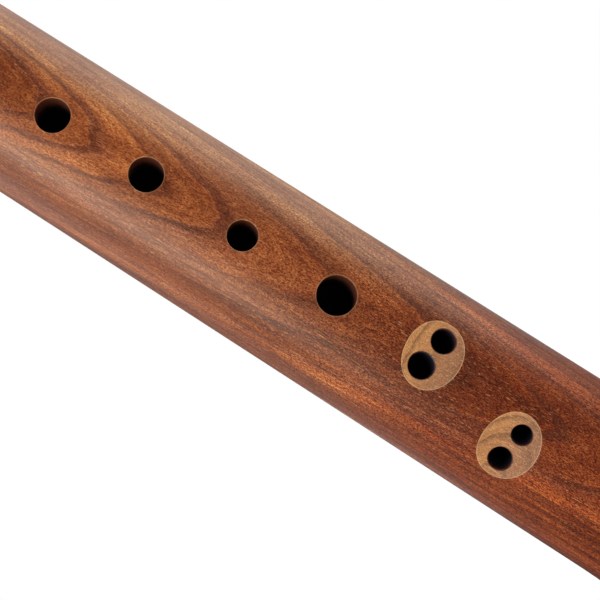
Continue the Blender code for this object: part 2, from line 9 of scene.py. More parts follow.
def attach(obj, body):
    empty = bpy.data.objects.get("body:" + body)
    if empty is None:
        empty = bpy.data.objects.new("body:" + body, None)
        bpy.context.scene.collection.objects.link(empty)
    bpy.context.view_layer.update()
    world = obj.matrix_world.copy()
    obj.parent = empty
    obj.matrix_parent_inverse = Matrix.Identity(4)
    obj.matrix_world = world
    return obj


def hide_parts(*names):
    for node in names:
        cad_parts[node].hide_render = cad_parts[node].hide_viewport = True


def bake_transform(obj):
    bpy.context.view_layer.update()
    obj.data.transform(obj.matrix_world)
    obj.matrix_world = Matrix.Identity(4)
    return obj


# The small clarinet's looks. The foot stands on z = 0, the bore runs up Z and the finger holes face -Y.
# Sizes in this file are millimetres until MM turns them into metres, and angles are degrees.
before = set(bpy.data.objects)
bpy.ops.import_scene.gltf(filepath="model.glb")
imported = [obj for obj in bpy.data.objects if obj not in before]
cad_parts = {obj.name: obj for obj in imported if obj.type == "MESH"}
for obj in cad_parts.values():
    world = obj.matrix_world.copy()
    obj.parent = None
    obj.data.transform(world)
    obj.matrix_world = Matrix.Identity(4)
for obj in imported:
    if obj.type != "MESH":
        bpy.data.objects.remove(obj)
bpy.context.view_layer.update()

MM = 0.001
# Room between pieces that would touch
GAP = 0.3

# Places of the four woods on the body: its oiled outside, fresh cuts, bored walls and paler rims
OILED, RAW, BORED, PALE_RIM = range(4)

# Wooden body
BODY_LENGTH = 258.0
FOOT_RADIUS = 17.4
TOP_RADIUS = 15.4
FLARE_HEIGHT = 32.0
FLARE = 2.2
RIM_ROUND = 1.6
BORE_RADIUS = 7.0
BELL_HEIGHT = 20.0
BELL_FLARE = 2.2
SOCKET_FOOT_Z = 242.0
SOCKET_RADIUS = 10.5
RING_FOOT_Z = 250.0
RING_SEAT_RADIUS = 14.2
BODY_SIDES = 192
BODY_ROW = 1.25

# A single finger hole has a height and a radius. A double one has its dish's azimuth and height, then each
# hole's shift across, shift along and radius. Every edge is broken by a narrow flat
SINGLE_HOLES = ((187.0, 3.45), (165.35, 3.45), (144.2, 3.45), (122.45, 3.05), (101.2, 3.95))
DOUBLE_HOLES = (
    (1.0, 79.7, ((-2.8, 0.7, 2.6), (3.5, -0.55, 2.4))),
    (-23.5, 58.15, ((-3.25, -0.2, 2.3), (3.0, -1.05, 2.0))),
)
THUMB_HOLE = (195.0, 3.5)
HOLE_EDGE = 0.12
SMALL_HOLE_EDGE = 0.18
SEAT_HOLE_EDGE = 0.08
DISH_DEPTH = 1.5
DISH_DRUM_RADIUS = 11.4
DISH_EDGE = 0.1
DISH_FOOT_Z = 47.4
DISH_SPACING = 21.55
DRILL_INNER = 3.0
DRILL_OUTER = 24.0

# Azimuth and height of each key's hinge. PAD_REACH is up from it, and TOUCH_REACH down
KEYS = {"front_key": (0.0, 214.0), "back_key": (180.0, 221.0)}
PIVOT_OUT = 18.4
PAD_REACH = 12.0
TOUCH_REACH = 14.5
SEAT_OUT = 14.45
SEAT_RADIUS = 6.3
SEAT_RING_RADIUS = 3.8
SEAT_TRENCH = 0.55
KEY_TONE_HOLE_RADIUS = 3.0
POST_HALF_SPAN = 6.0
POST_LEAN = math.degrees(math.atan2(POST_HALF_SPAN, PIVOT_OUT))
POST_BALL_RADIUS = 2.2
POST_NECK_RADIUS = 1.3
POST_STEM_RADIUS = 1.2
POST_STEM_BOTTOM = 11.5
SPOT_FACE_RADIUS = 2.75
SPOT_FACE_DEPTH = 0.25
HUB_RADIUS = 1.9
HUB_HALF = 3.5
AXLE_RADIUS = 0.75
AXLE_HOLE_RADIUS = 0.95
CUP_FLOOR = -1.35
CUP_RIM = -2.35
PAD_RADIUS = 5.2
PAD_THICKNESS = 2.0
BUMPER_Y = -17.0
SPRING_SCREW_Y = -4.5
SPRING_SCREW_HOLE_RADIUS = 0.8
SPRING_HALF_WIDTH = 1.3
SPRING_HALF_THICKNESS = 0.15
SPRING_END_Y = -13.9

# Thumb rest, with a screw above and below its shelf
THUMB_REST_Z = 112.0
THUMB_REST_HALF_WIDTH = 6.0
THUMB_REST_HALF_HEIGHT = 12.0
THUMB_REST_THICKNESS = 1.3
THUMB_REST_SCREW_Y = 9.0
THUMB_REST_HOLE_RADIUS = 1.3

# Mouthpiece, with its flat table and reed on +Y
OVERALL_LENGTH = 318.0
TABLE_FOOT_Z = 262.0
TABLE_FOOT_OUT = 9.2
TABLE_TILT = 2.0
LAY_START_Z = 299.0
TIP_OPENING = 0.95
TIP_HALF_WIDTH = 6.15
TIP_ARC_RADIUS = 11.1
WINDOW_FOOT_Z = 290.0
WINDOW_TOP_Z = 316.6
WINDOW_HALF_WIDTH = 4.4
CHAMBER_OUT = 4.6
MOUTHPIECE_HALF_POINTS = 64
REED_LENGTH = 55.2
REED_HEEL_HALF_WIDTH = 5.3
REED_THICKNESS = 2.6
REED_TIP_THICKNESS = 0.15
REED_BARK_RADIUS = 9.0
REED_VAMP_START = 24.0
LIGATURE_LOW_Z = 268.0
LIGATURE_HIGH_Z = 287.0
LIGATURE_SEAT_LOW_RADIUS = 12.35
LIGATURE_SEAT_HIGH_RADIUS = 11.35
LIGATURE_THICKNESS = 0.6
SCREW_HEIGHTS = {"ligature_screw_lower": 272.2, "ligature_screw_upper": 282.6}
SCREW_OUT = 15.1
SCREW_RADIUS = 1.0
SCREW_POST_INNER = 2.3
SCREW_POST_OUTER = 5.2
SCREW_POST_MIDDLE_OUT = 13.9
SCREW_POST_HALF_HEIGHT = 2.2
SCREW_TIP = 5.9
SCREW_COLLAR_RADIUS = 2.2
SCREW_HEAD_RADIUS = 3.0

# Turns a piece's own axis from local Z to local X
ALONG_X = Matrix.Rotation(math.radians(90), 4, "Y")


def offset(x=0.0, y=0.0, z=0.0):
    """A shift in millimetres."""
    return Matrix.Translation((x * MM, y * MM, z * MM))


def facing(azimuth, z, out=0.0):
    """A place on the tube: local Z points outward, Y up the bore and X across. Azimuth 0 faces -Y."""
    turn = Matrix.Rotation(math.radians(azimuth), 4, "Z") @ Matrix.Rotation(math.radians(90), 4, "X")
    return offset(z=z) @ turn @ offset(z=out)


def body_radius(z):
    """Outer radius of the wood: a straight taper, with a gentle flare at the foot."""
    taper = FOOT_RADIUS + (TOP_RADIUS - FOOT_RADIUS) * z / BODY_LENGTH
    return taper + FLARE * max(0.0, 1.0 - z / FLARE_HEIGHT) ** 2


# Node trees written as expressions


class Value:
    """An output of a node. Arithmetic on it adds Math nodes to its graph."""

    def __init__(self, graph, socket):
        self.graph = graph
        self.socket = socket

    def math(self, operation, *others):
        return self.graph.add("ShaderNodeMath", [self, *others], operation=operation)

    def __add__(self, other):
        return self.math("ADD", other)

    def __sub__(self, other):
        return self.math("SUBTRACT", other)

    def __mul__(self, other):
        return self.math("MULTIPLY", other)

    def __truediv__(self, other):
        return self.math("DIVIDE", other)

    def __pow__(self, other):
        return self.math("POWER", other)

    def __mod__(self, other):
        return self.math("MODULO", other)

    def __rsub__(self, other):
        return self.graph.add("ShaderNodeMath", [other, self], operation="SUBTRACT")

    def __rtruediv__(self, other):
        return self.graph.add("ShaderNodeMath", [other, self], operation="DIVIDE")

    __radd__ = __add__
    __rmul__ = __mul__

    def ramp(self, low, high, start=0.0, end=1.0):
        """Goes smoothly from start to end while this value goes from low to high."""
        return self.graph.add(
            "ShaderNodeMapRange", [self, low, high, start, end], interpolation_type="SMOOTHSTEP"
        )


class Graph:
    """A node tree that is written as expressions."""

    def __init__(self, tree):
        self.tree = tree

    def add(self, kind, inputs=(), output=0, stops=None, **settings):
        """Adds any node: its settings come first, then the values or links of its sockets."""
        node = self.tree.nodes.new(kind)
        for key, value in settings.items():
            setattr(node, key, value)
        if stops:
            elements = node.color_ramp.elements
            while len(elements) < len(stops):
                elements.new(0.5)
            for element, (place, tint) in zip(elements, stops):
                element.position = place
                element.color = tint
        pairs = inputs.items() if isinstance(inputs, dict) else enumerate(inputs)
        for key, value in pairs:
            if isinstance(value, Value):
                self.tree.links.new(value.socket, node.inputs[key])
            else:
                node.inputs[key].default_value = value
        return Value(self, node.outputs[output])


def colour(red, green, blue):
    """A colour given as it looks on a screen, from 0 to 255, in the scene's linear values."""
    parts = [part / 255 for part in (red, green, blue)]
    return (*[p / 12.92 if p < 0.04045 else ((p + 0.055) / 1.055) ** 2.4 for p in parts], 1.0)


class Finish(Graph):
    """A material, with its Principled shader ready for the maps that a finish needs."""

    def __init__(self, name, **constants):
        self.material = bpy.data.materials.new(name)
        self.material.use_nodes = True
        super().__init__(self.material.node_tree)
        self.shader = self.tree.nodes["Principled BSDF"]
        for key, value in constants.items():
            self.shader.inputs[key.replace("_", " ")].default_value = value
        place = self.add("ShaderNodeTexCoord", output="Object")
        self.place = self.scaled(place, (1 / MM, 1 / MM, 1 / MM))

    def scaled(self, vector, scale):
        return self.add("ShaderNodeVectorMath", [vector, scale], operation="MULTIPLY")

    def axes(self, vector=None):
        """The three parts of a vector, by default the place on the object in millimetres."""
        node = self.add("ShaderNodeSeparateXYZ", [vector or self.place])
        return [Value(self, out) for out in node.socket.node.outputs]

    def vector(self, x, y, z):
        return self.add("ShaderNodeCombineXYZ", [x, y, z])

    def noise(self, scale, detail=2.0, roughness=0.5, vector=None, distortion=0.0):
        """Noise whose grains are about 1 / scale millimetres long on each axis, between 0 and 1."""
        place = self.scaled(vector or self.place, scale)
        inputs = {"Vector": place, "Scale": 1.0, "Detail": detail}
        inputs |= {"Roughness": roughness, "Distortion": distortion}
        return self.add("ShaderNodeTexNoise", inputs)

    def mix(self, factor, first, second):
        """Goes from the first colour to the second as the factor goes from 0 to 1."""
        inputs = {0: factor, 6: first, 7: second}
        return self.add("ShaderNodeMix", inputs, output=2, data_type="RGBA")

    def coats(self, base, *coats):
        """Lays more colours over a base. Each coat has the share that it hides, and its screen colour."""
        for share, tint in coats:
            base = self.mix(share, base, colour(*tint))
        return base

    def close(self, base, rough, height, depth):
        """Gives the shader its colour, its roughness and its relief: height as a share of depth in mm."""
        relief = self.add("ShaderNodeBump", {"Height": height, "Distance": depth * MM, "Strength": 1.0})
        for key, value in (("Base Color", base), ("Roughness", rough), ("Normal", relief)):
            self.tree.links.new(value.socket, self.shader.inputs[key])
        return self.material


# Finishes

# The tube is cut from a leaning tree whose pith is behind it. Growth is the distance from the pith, and
# GROWTH_SLOPE adds the lean. Rings nearer the pith than the first listed one, which is number FIRST_RING,
# are all RING_WIDTH wide
PITH = (0.0, 45.0)
GROWTH_SLOPE = 0.072
RING_WIDTH = 1.7
FIRST_RING = 60.0
# Growth at each dark line, and the tone of the wood that ends there, from 0 dark red to 1 light
LATE_WOOD = (
    (57.6, 0.4), (58.5, 0.5), (59.2, 0.2), (60.1, 0.5), (60.8, 0.2), (61.6, 0.55),
    (62.3, 0.45), (64.4, 0.95), (65.9, 0.45), (67.0, 0.2), (68.9, 0.4), (70.6, 0.65),
    (71.45, 0.55), (72.3, 0.9), (73.05, 0.7), (73.9, 0.5), (74.9, 0.65), (76.0, 0.5),
)


def wood_figure(finish):
    """The patterns that the tube's cut shows in plum wood: x, y and z in millimetres, the rest 0 to 1."""
    x, y, z = finish.axes()
    across, behind = x - PITH[0], y - PITH[1]
    reach = (across * across + behind * behind) ** 0.5
    drift = (finish.noise((0.05, 0.05, 0.016), 1.0) - 0.5) * 1.4
    ripple = (finish.noise((0.35, 0.35, 0.05), 2.0) - 0.5) * 0.5
    growth = reach + z * GROWTH_SLOPE + drift + ripple
    low, high = LATE_WOOD[0][0], LATE_WOOD[-1][0]
    count = len(LATE_WOOD) - 1
    places = [(line - low) / (high - low) for line, _ in LATE_WOOD]
    counts = [(place, (i / count,) * 3 + (1.0,)) for i, place in enumerate(places)]
    tones = [(place, (tone,) * 3 + (1.0,)) for place, (_, tone) in zip(places, LATE_WOOD[1:])]
    share = (growth - low) / (high - low)
    ring = finish.add("ShaderNodeValToRGB", [share], stops=counts) * count
    ring = ring + (growth - low).math("MINIMUM", 0.0) / RING_WIDTH + FIRST_RING
    number = ring.math("FLOOR")
    known_tone = finish.add("ShaderNodeValToRGB", [share], stops=tones)
    known_tone.socket.node.color_ramp.interpolation = "CONSTANT"
    random_tone = finish.add("ShaderNodeTexWhiteNoise", {"W": number}, noise_dimensions="1D")
    known = share.ramp(-0.02, 0.02)
    along_rings = finish.vector(growth * 2.6, z * 0.02, x * 0.12)
    fine_rings = finish.vector(growth * 8.0, z * 0.06, x * 0.3)
    return {
        "x": x,
        "y": y,
        "z": z,
        "inside": ring - number,
        "tone": known_tone * known + random_tone * (1 - known),
        "hue": finish.add("ShaderNodeTexWhiteNoise", {"W": number + 0.5}, noise_dimensions="1D"),
        "streak": finish.noise((1.0, 1.0, 1.0), 3.0, 0.65, vector=along_rings),
        "veins": finish.noise((1.0, 1.0, 1.0), 3.0, 0.7, vector=fine_rings),
        "fibre": finish.noise((4.6, 4.6, 0.17), 3.0, 0.72),
        "flecks": finish.noise((6.0, 6.0, 0.8), 2.0, 0.6),
        "pores": finish.noise((8.0, 8.0, 2.2), 3.0, 0.65),
        "clouds": finish.noise((0.16, 0.16, 0.05), 3.0, 0.6),
        "straight": finish.noise((1.3, 1.3, 0.012), 2.0, 0.6),
    }


def oiled_plum(name):
    """Oiled plum wood, satin and orange to red-brown, with a redder foot and an olive cast on +X."""
    finish = Finish(name, IOR=1.38, Specular_Tint=(1.0, 0.82, 0.62, 1.0))
    figure = wood_figure(finish)
    x, z, inside, tone = [figure[key] for key in ("x", "z", "inside", "tone")]
    fibre, veins, streak, clouds = [figure[key] for key in ("fibre", "veins", "streak", "clouds")]
    orange = finish.mix(tone, colour(92, 35, 12), colour(146, 78, 36))
    olive = finish.mix(tone, colour(116, 62, 30), colour(166, 111, 63))
    base = finish.mix(x.ramp(3.0, 12.0) * z.ramp(30.0, 120.0, 0.25, 1.0), orange, olive)
    red = finish.mix(tone, colour(84, 24, 3), colour(132, 47, 8))
    base = finish.mix(z.ramp(130.0, 60.0, 0.0, 0.85), base, red)
    base = finish.mix(figure["hue"].ramp(0.5, 1.0, 0.0, 0.3), base, colour(110, 48, 24))
    blush = inside.ramp(0.45, 0.85) * tone.ramp(0.3, 0.9) * z.ramp(60.0, 120.0, 0.3, 1.0)
    base = finish.mix(blush * 0.5, base, colour(106, 56, 42))
    late = inside.ramp(0.45, 0.94) * (1 - inside.ramp(0.95, 1.0))
    faint = x.ramp(3.0, 9.0) * z.ramp(70.0, 110.0) * 0.6 + x.ramp(-4.0, -9.0) * 0.5
    base = finish.mix(late.ramp(0.55, 1.0, 0.0, 0.62) * (1 - faint), base, colour(74, 28, 13))
    lines = figure["straight"].ramp(0.36, 0.64, 0.22, -0.22) * x.ramp(-3.0, -9.0)
    shade = 1 - fibre.ramp(0.3, 0.7, -0.28, 0.28) * z.ramp(120.0, 150.0, 1.0, 0.75)
    shade = shade * veins.ramp(0.3, 0.7, 1.15, 0.85)
    shade = shade * (1 + lines * z.ramp(150.0, 90.0, 0.4, 1.0))
    shade = shade * streak.ramp(0.3, 0.7, 1.2, 0.8) * clouds.ramp(0.3, 0.7, 1.26, 0.77)
    # Pores: real dark and pale specks of the wood, and the steeper green and blue powers below also paint
    # the pale ones greyer as a fine painted sheen.
    fine = 1 + figure["pores"].ramp(0.37, 0.63, -0.5, 0.5) * z.ramp(130.0, 90.0, 1.0, 1.55)
    red_part = shade * fine * 0.97
    green_part = shade**1.5 * fine**2.0 * 0.85
    blue_part = shade**1.7 * fine**2.8 * 0.72
    base = finish.scaled(base, finish.vector(red_part, green_part, blue_part))
    flecks = figure["flecks"].ramp(0.6, 0.7) * clouds.ramp(0.4, 0.6, 0.15, 0.8)
    base = finish.mix(flecks, base, colour(186, 126, 80))
    rough = fibre.ramp(0.3, 0.7, 0.32, 0.46)
    return finish.close(base, rough, fibre * 0.6 + veins * 0.2 + figure["pores"] * 0.2, 0.03)


def raw_plum(name, light=0.0):
    """Freshly cut plum wood, tan and dry, with painted light that makes each dish paler up its slope, which
    faces the foot. Light is how much paler the dishes' rims are painted.
    """
    finish = Finish(name, IOR=1.3)
    figure = wood_figure(finish)
    inside, fibre = figure["inside"], figure["fibre"]
    late = inside.ramp(0.55, 0.92) * (1 - inside.ramp(0.93, 1.0))
    up_the_dish_for_painted_light = (figure["z"] - DISH_FOOT_Z) % DISH_SPACING
    # Painted light: each dish is painted paler up its slope, which faces the foot, and darker at its lower
    # end.
    base = finish.mix(up_the_dish_for_painted_light.ramp(6.0, 15.5), colour(142, 96, 66), colour(190, 132, 76))
    base = finish.coats(
        base,
        (figure["tone"] * 0.3, (164, 108, 66)),
        (late * 0.85, (118, 78, 48)),
        (figure["streak"].ramp(0.4, 0.8, 0.0, 0.5), (142, 90, 52)),
        (figure["veins"].ramp(0.5, 0.72, 0.0, 0.6), (116, 72, 44)),
        (fibre.ramp(0.5, 0.72, 0.0, 0.6), (112, 70, 44)),
        (fibre.ramp(0.48, 0.28, 0.0, 0.55), (222, 176, 126)),
        (figure["pores"].ramp(0.5, 0.36, 0.0, 0.55), (98, 58, 38)),
        (figure["pores"].ramp(0.54, 0.68, 0.0, 0.3), (220, 172, 120)),
        # Light paints the dishes' rims paler.
        (light, (214, 176, 134)),
    )
    rough = fibre.ramp(0.2, 0.8, 0.55, 0.75)
    return finish.close(base, rough, fibre * 0.7 + figure["pores"] * 0.3, 0.04)


def bored_plum(name):
    """Oil-darkened wood on the walls of the holes and the bore, with painted shade that deepens to bluish
    black deep in the holes and down the bore.
    """
    finish = Finish(name, IOR=1.45)
    figure = wood_figure(finish)
    x, y, fibre = figure["x"], figure["y"], figure["fibre"]
    base = finish.mix(figure["inside"].ramp(0.4, 0.9) * 0.5, colour(98, 44, 19), colour(58, 25, 12))
    base = finish.mix(fibre.ramp(0.5, 0.25, 0.0, 0.4), base, colour(40, 20, 13))
    # Painted shade: the walls darken to bluish black towards the bore, and from further out in the small
    # holes below z 86.
    out = (x * x + y * y) ** 0.5 - figure["z"].ramp(92.0, 86.0, 0.0, 5.0)
    base = finish.mix(out.ramp(12.5, 8.5), base, colour(24, 22, 36))
    rough = fibre.ramp(0.2, 0.8, 0.45, 0.65)
    return finish.close(base, rough, fibre * 0.7 + figure["veins"] * 0.3, 0.03)


def polished_metal(name, bright, dull, roughness):
    """Hand-polished metal: fine scratches, soft clouds in its shine and a breath of tarnish."""
    finish = Finish(name, Metallic=1.0)
    clouds = finish.noise((0.12, 0.12, 0.12), 2.0, 0.5)
    scratches = finish.noise((1.2, 14.0, 14.0), 2.0, 0.6)
    specks = finish.noise((2.6, 2.6, 2.6), 4.0, 0.7)
    base = finish.mix(clouds.ramp(0.35, 0.7), bright, dull)
    base = finish.mix(specks.ramp(0.66, 0.8, 0.0, 0.3), base, colour(134, 118, 88))
    rough = clouds.ramp(0.3, 0.7, roughness, roughness + 0.07) + specks.ramp(0.5, 0.8, 0.0, 0.06)
    return finish.close(base, rough, scratches * 0.7 + specks * 0.3, 0.004)


def blued_steel(name):
    """Spring steel tempered to blue, with violet and straw where the heat was uneven."""
    finish = Finish(name, Metallic=1.0)
    heat = finish.noise((0.3, 0.3, 0.2), 2.0, 0.5)
    scratches = finish.noise((12.0, 12.0, 1.0), 2.0, 0.6)
    base = finish.mix(heat.ramp(0.4, 0.62), colour(44, 58, 96), colour(78, 62, 98))
    base = finish.mix(heat.ramp(0.62, 0.75, 0.0, 0.7), base, colour(134, 108, 74))
    rough = scratches.ramp(0.3, 0.7, 0.2, 0.36)
    return finish.close(base, rough, scratches, 0.004)


def black_ebonite(name):
    """Polished hard rubber: near black, a little brown where light has aged it, with fine turning lines."""
    finish = Finish(name, IOR=1.6)
    z = finish.axes()[2]
    clouds = finish.noise((0.12, 0.12, 0.12), 3.0, 0.6)
    lines = finish.noise((0.3, 0.3, 9.0), 2.0, 0.6)
    smears = finish.noise((0.8, 0.8, 0.5), 3.0, 0.7)
    base = finish.mix(clouds.ramp(0.35, 0.7), colour(15, 14, 14), colour(30, 26, 22))
    rough = smears.ramp(0.4, 0.75, 0.1, 0.2) + z.ramp(260.0, 256.0, 0.0, 0.16)
    return finish.close(base, rough, lines * 0.6 + smears * 0.4, 0.008)


def natural_cork(name):
    """Cork with its cells, dark lenticels and a dull grain."""
    finish = Finish(name, IOR=1.3)
    grain = finish.noise((2.2, 2.2, 2.2), 4.0, 0.7)
    pits = finish.noise((1.1, 1.1, 0.5), 2.0, 0.55)
    cells = finish.add("ShaderNodeTexVoronoi", {"Vector": finish.place, "Scale": 2.6, "Detail": 1.0})
    base = finish.mix(grain.ramp(0.3, 0.7), colour(168, 122, 78), colour(204, 160, 112))
    base = finish.mix(pits.ramp(0.6, 0.72, 0.0, 0.85), base, colour(94, 58, 34))
    base = finish.mix(cells.ramp(0.0, 0.9, 0.18, 0.0), base, colour(120, 80, 48))
    rough = grain.ramp(0.2, 0.8, 0.75, 0.92)
    return finish.close(base, rough, grain * 0.6 + pits.ramp(0.6, 0.72, 0.4, 0.0), 0.12)


def cane_reed(name):
    """Cane: glossy golden bark with brown flecks, and the pale scraped face with its long fibres."""
    finish = Finish(name, IOR=1.45)
    z = finish.axes()[2]
    scraped = finish.add("ShaderNodeAttribute", output="Fac", attribute_name="scraped")
    fibre = finish.noise((4.5, 4.5, 0.16), 3.0, 0.7)
    vessels = finish.noise((2.4, 2.4, 0.05), 1.0, 0.5)
    flecks = finish.noise((1.1, 1.1, 0.22), 3.0, 0.65)
    bark = finish.mix(fibre.ramp(0.3, 0.7), colour(188, 150, 74), colour(216, 182, 104))
    bark = finish.mix(flecks.ramp(0.58, 0.72, 0.0, 0.8), bark, colour(118, 76, 34))
    flesh = finish.mix(fibre.ramp(0.3, 0.7), colour(208, 174, 110), colour(232, 206, 150))
    flesh = finish.mix(vessels.ramp(0.55, 0.7, 0.0, 0.4), flesh, colour(178, 138, 82))
    flesh = finish.mix(z.ramp(306.0, 318.0, 0.0, 0.5), flesh, colour(240, 222, 178))
    rough = fibre.ramp(0.2, 0.8, 0.22, 0.34) + scraped * 0.36
    base = finish.mix(scraped, bark, flesh)
    return finish.close(base, rough, fibre * 0.7 + vessels * 0.3, 0.02)


def pad_leather(name):
    """Thin kid leather, cream and slightly creased, with darker pores."""
    finish = Finish(name, IOR=1.4)
    inputs = {"Vector": finish.place, "Scale": 3.2}
    pores = finish.add("ShaderNodeTexVoronoi", inputs, feature="DISTANCE_TO_EDGE")
    creases = finish.noise((0.9, 0.9, 0.9), 4.0, 0.65, distortion=0.6)
    base = finish.mix(creases.ramp(0.3, 0.7), colour(206, 184, 146), colour(230, 214, 184))
    base = finish.mix(pores.ramp(0.12, 0.0, 0.0, 0.35), base, colour(150, 120, 84))
    rough = creases.ramp(0.3, 0.7, 0.5, 0.68)
    return finish.close(base, rough, pores.ramp(0.0, 0.15, 0.0, 0.7) + creases * 0.3, 0.05)


# Meshes


def settle(piece):
    """Keeps what a piece's modifiers make as its own mesh."""
    ready = piece.evaluated_get(bpy.context.evaluated_depsgraph_get())
    mesh = bpy.data.meshes.new_from_object(ready)
    mesh.name = piece.name
    piece.modifiers.clear()
    piece.data = mesh


def new_piece(name, points, faces, place=Matrix(), finishes=(), edges=()):
    """A mesh from points in millimetres, with its place written into its points."""
    mesh = bpy.data.meshes.new(name)
    mesh.from_pydata([place @ (Vector(point) * MM) for point in points], edges, faces)
    for material in finishes:
        mesh.materials.append(material)
    piece = bpy.data.objects.new(name, mesh)
    bpy.context.scene.collection.objects.link(piece)
    return piece


def tidy_mesh(piece):
    """Merges a mesh's doubles and turns its faces outward."""
    bm = bmesh.new()
    bm.from_mesh(piece.data)
    bmesh.ops.remove_doubles(bm, verts=bm.verts, dist=1e-7)
    bmesh.ops.recalc_face_normals(bm, faces=bm.faces)
    bm.to_mesh(piece.data)
    bm.free()


def skinned(name, rings, place=Matrix(), finishes=(), bands=None):
    """Skins closed rings of points and caps both ends. Bands give each strip's place in the finishes."""
    count = len(rings[0])
    points = [tuple(point) for ring in rings for point in ring]
    faces = [tuple(range(count)), tuple(range((len(rings) - 1) * count, len(rings) * count))]
    slots = [0, 0]
    for row in range(len(rings) - 1):
        for i in range(count):
            j = (i + 1) % count
            near, far = row * count, (row + 1) * count
            faces.append((near + i, near + j, far + j, far + i))
            slots.append(bands[row] if bands else 0)
    piece = new_piece(name, points, faces, place, finishes)
    piece.data.polygons.foreach_set("material_index", slots)
    tidy_mesh(piece)
    return piece


class Shape(Graph):
    """A Geometry Nodes tree with named inputs, which works on a piece's own mesh."""

    def __init__(self, name, inputs):
        tree = bpy.data.node_groups.new(name, "GeometryNodeTree")
        super().__init__(tree)
        tree.interface.new_socket("Geometry", in_out="OUTPUT", socket_type="NodeSocketGeometry")
        tree.interface.new_socket("Geometry", in_out="INPUT", socket_type="NodeSocketGeometry")
        self.sockets = {}
        for label, kind in inputs.items():
            socket = tree.interface.new_socket(label, in_out="INPUT", socket_type=f"NodeSocket{kind}")
            self.sockets[label] = socket.identifier
        entry = tree.nodes.new("NodeGroupInput")
        self.given = {socket.name: Value(self, socket) for socket in entry.outputs if socket.name}

    def close(self, geometry):
        """Ends the tree with real geometry in the given finish."""
        real = self.add("GeometryNodeRealizeInstances", [geometry])
        dressed = self.add("GeometryNodeSetMaterial", {"Geometry": real, "Material": self.given["Finish"]})
        exit_node = self.tree.nodes.new("NodeGroupOutput")
        self.tree.links.new(dressed.socket, exit_node.inputs[0])

    def run(self, piece, **sizes):
        """Runs the tree on a piece and keeps the result as its mesh."""
        step = piece.modifiers.new(self.tree.name, "NODES")
        step.node_group = self.tree
        for label, value in sizes.items():
            step[self.sockets[label.replace("_", " ")]] = value
        settle(piece)
        piece.data.materials.clear()
        piece.data.materials.append(sizes["Finish"])
        piece.data.polygons.foreach_set("material_index", [0] * len(piece.data.polygons))


def turning_shape():
    """Turns a profile about Z. A profile point has its radius as X, its height as Z and its own rounding."""
    shape = Shape("turning", {"Sides": "Int", "Corner Steps": "Int", "Closed": "Int", "Finish": "Material"})
    rounding = shape.add("GeometryNodeInputNamedAttribute", ["rounding"], data_type="FLOAT")
    line = shape.add("GeometryNodeMeshToCurve", [shape.given["Geometry"]])
    corners = {"Curve": line, "Count": shape.given["Corner Steps"], "Radius": rounding, "Limit Radius": True}
    line = shape.add("GeometryNodeFilletCurve", corners, mode="POLY")
    count = shape.add("GeometryNodeAttributeDomainSize", [line], component="CURVE")
    rows = count + shape.given["Closed"]
    sides = shape.given["Sides"]
    grid = shape.add(
        "GeometryNodeMeshGrid", {"Size X": 1.0, "Size Y": 1.0, "Vertices X": sides + 1, "Vertices Y": rows}
    )
    index = shape.add("GeometryNodeInputIndex")
    row = index % rows % count
    column = (index / rows).math("FLOOR")
    where = shape.add("GeometryNodeInputPosition")
    sampled = shape.add(
        "GeometryNodeSampleIndex",
        {"Geometry": line, "Value": where, "Index": row},
        data_type="FLOAT_VECTOR",
        domain="POINT",
    )
    parts = shape.add("ShaderNodeSeparateXYZ", [sampled]).socket.node.outputs
    radius, height = Value(shape, parts["X"]), Value(shape, parts["Z"])
    angle = column / sides * math.tau
    turned_to = shape.add(
        "ShaderNodeCombineXYZ", [radius * angle.math("COSINE"), radius * angle.math("SINE"), height]
    )
    moved = shape.add("GeometryNodeSetPosition", {"Geometry": grid, "Position": turned_to})
    merged = shape.add("GeometryNodeMergeByDistance", {"Geometry": moved, "Distance": 1e-6})
    shape.close(merged)
    return shape


TURNING = turning_shape()


def turned(name, outline, material, sides=64, place=Matrix(), corner_steps=4):
    """Turns an outline of (radius, height, rounding) points about local Z. Off the axis it makes a ring."""
    closed = outline[0][0] > 0
    points = [(point[0], 0.0, point[1]) for point in outline]
    edges = [(i, i + 1) for i in range(len(points) - 1)] + ([(len(points) - 1, 0)] if closed else [])
    piece = new_piece(name, points, [], edges=edges)
    rounding = piece.data.attributes.new("rounding", "FLOAT", "POINT")
    rounding.data.foreach_set("value", [point[2] * MM if len(point) > 2 else 0.0 for point in outline])
    TURNING.run(piece, Sides=sides, Corner_Steps=corner_steps, Closed=int(closed), Finish=material)
    piece.data.transform(place)
    tidy_mesh(piece)
    return piece


def grooving_shape():
    """Sinks Count grooves into a turned piece, each winding Turns times round it for each metre."""
    inputs = ("Count", "Turns", "Depth", "Low", "High", "Inner")
    shape = Shape("grooving", {**{label: "Float" for label in inputs}, "Finish": "Material"})
    count, turns, depth, low, high, inner = [shape.given[label] for label in inputs]
    where = shape.add("GeometryNodeInputPosition")
    parts = shape.add("ShaderNodeSeparateXYZ", [where]).socket.node.outputs
    x, y, z = [Value(shape, part) for part in parts]
    radius = (x * x + y * y).math("SQRT").math("MAXIMUM", 1e-6)
    phase = y.math("ARCTAN2", x) * count + z * turns * math.tau
    wave = phase.math("COSINE") * 0.5 + 0.5
    fade = 0.3 * MM
    inside = z.ramp(low, low + fade) * (1 - z.ramp(high - fade, high)) * radius.ramp(inner, inner + 0.1 * MM)
    size = 1 - wave * inside * depth / radius
    moved = shape.add("ShaderNodeCombineXYZ", [x * size, y * size, z])
    grooves = shape.add("GeometryNodeSetPosition", {"Geometry": shape.given["Geometry"], "Position": moved})
    shape.close(grooves)
    return shape


GROOVING = grooving_shape()


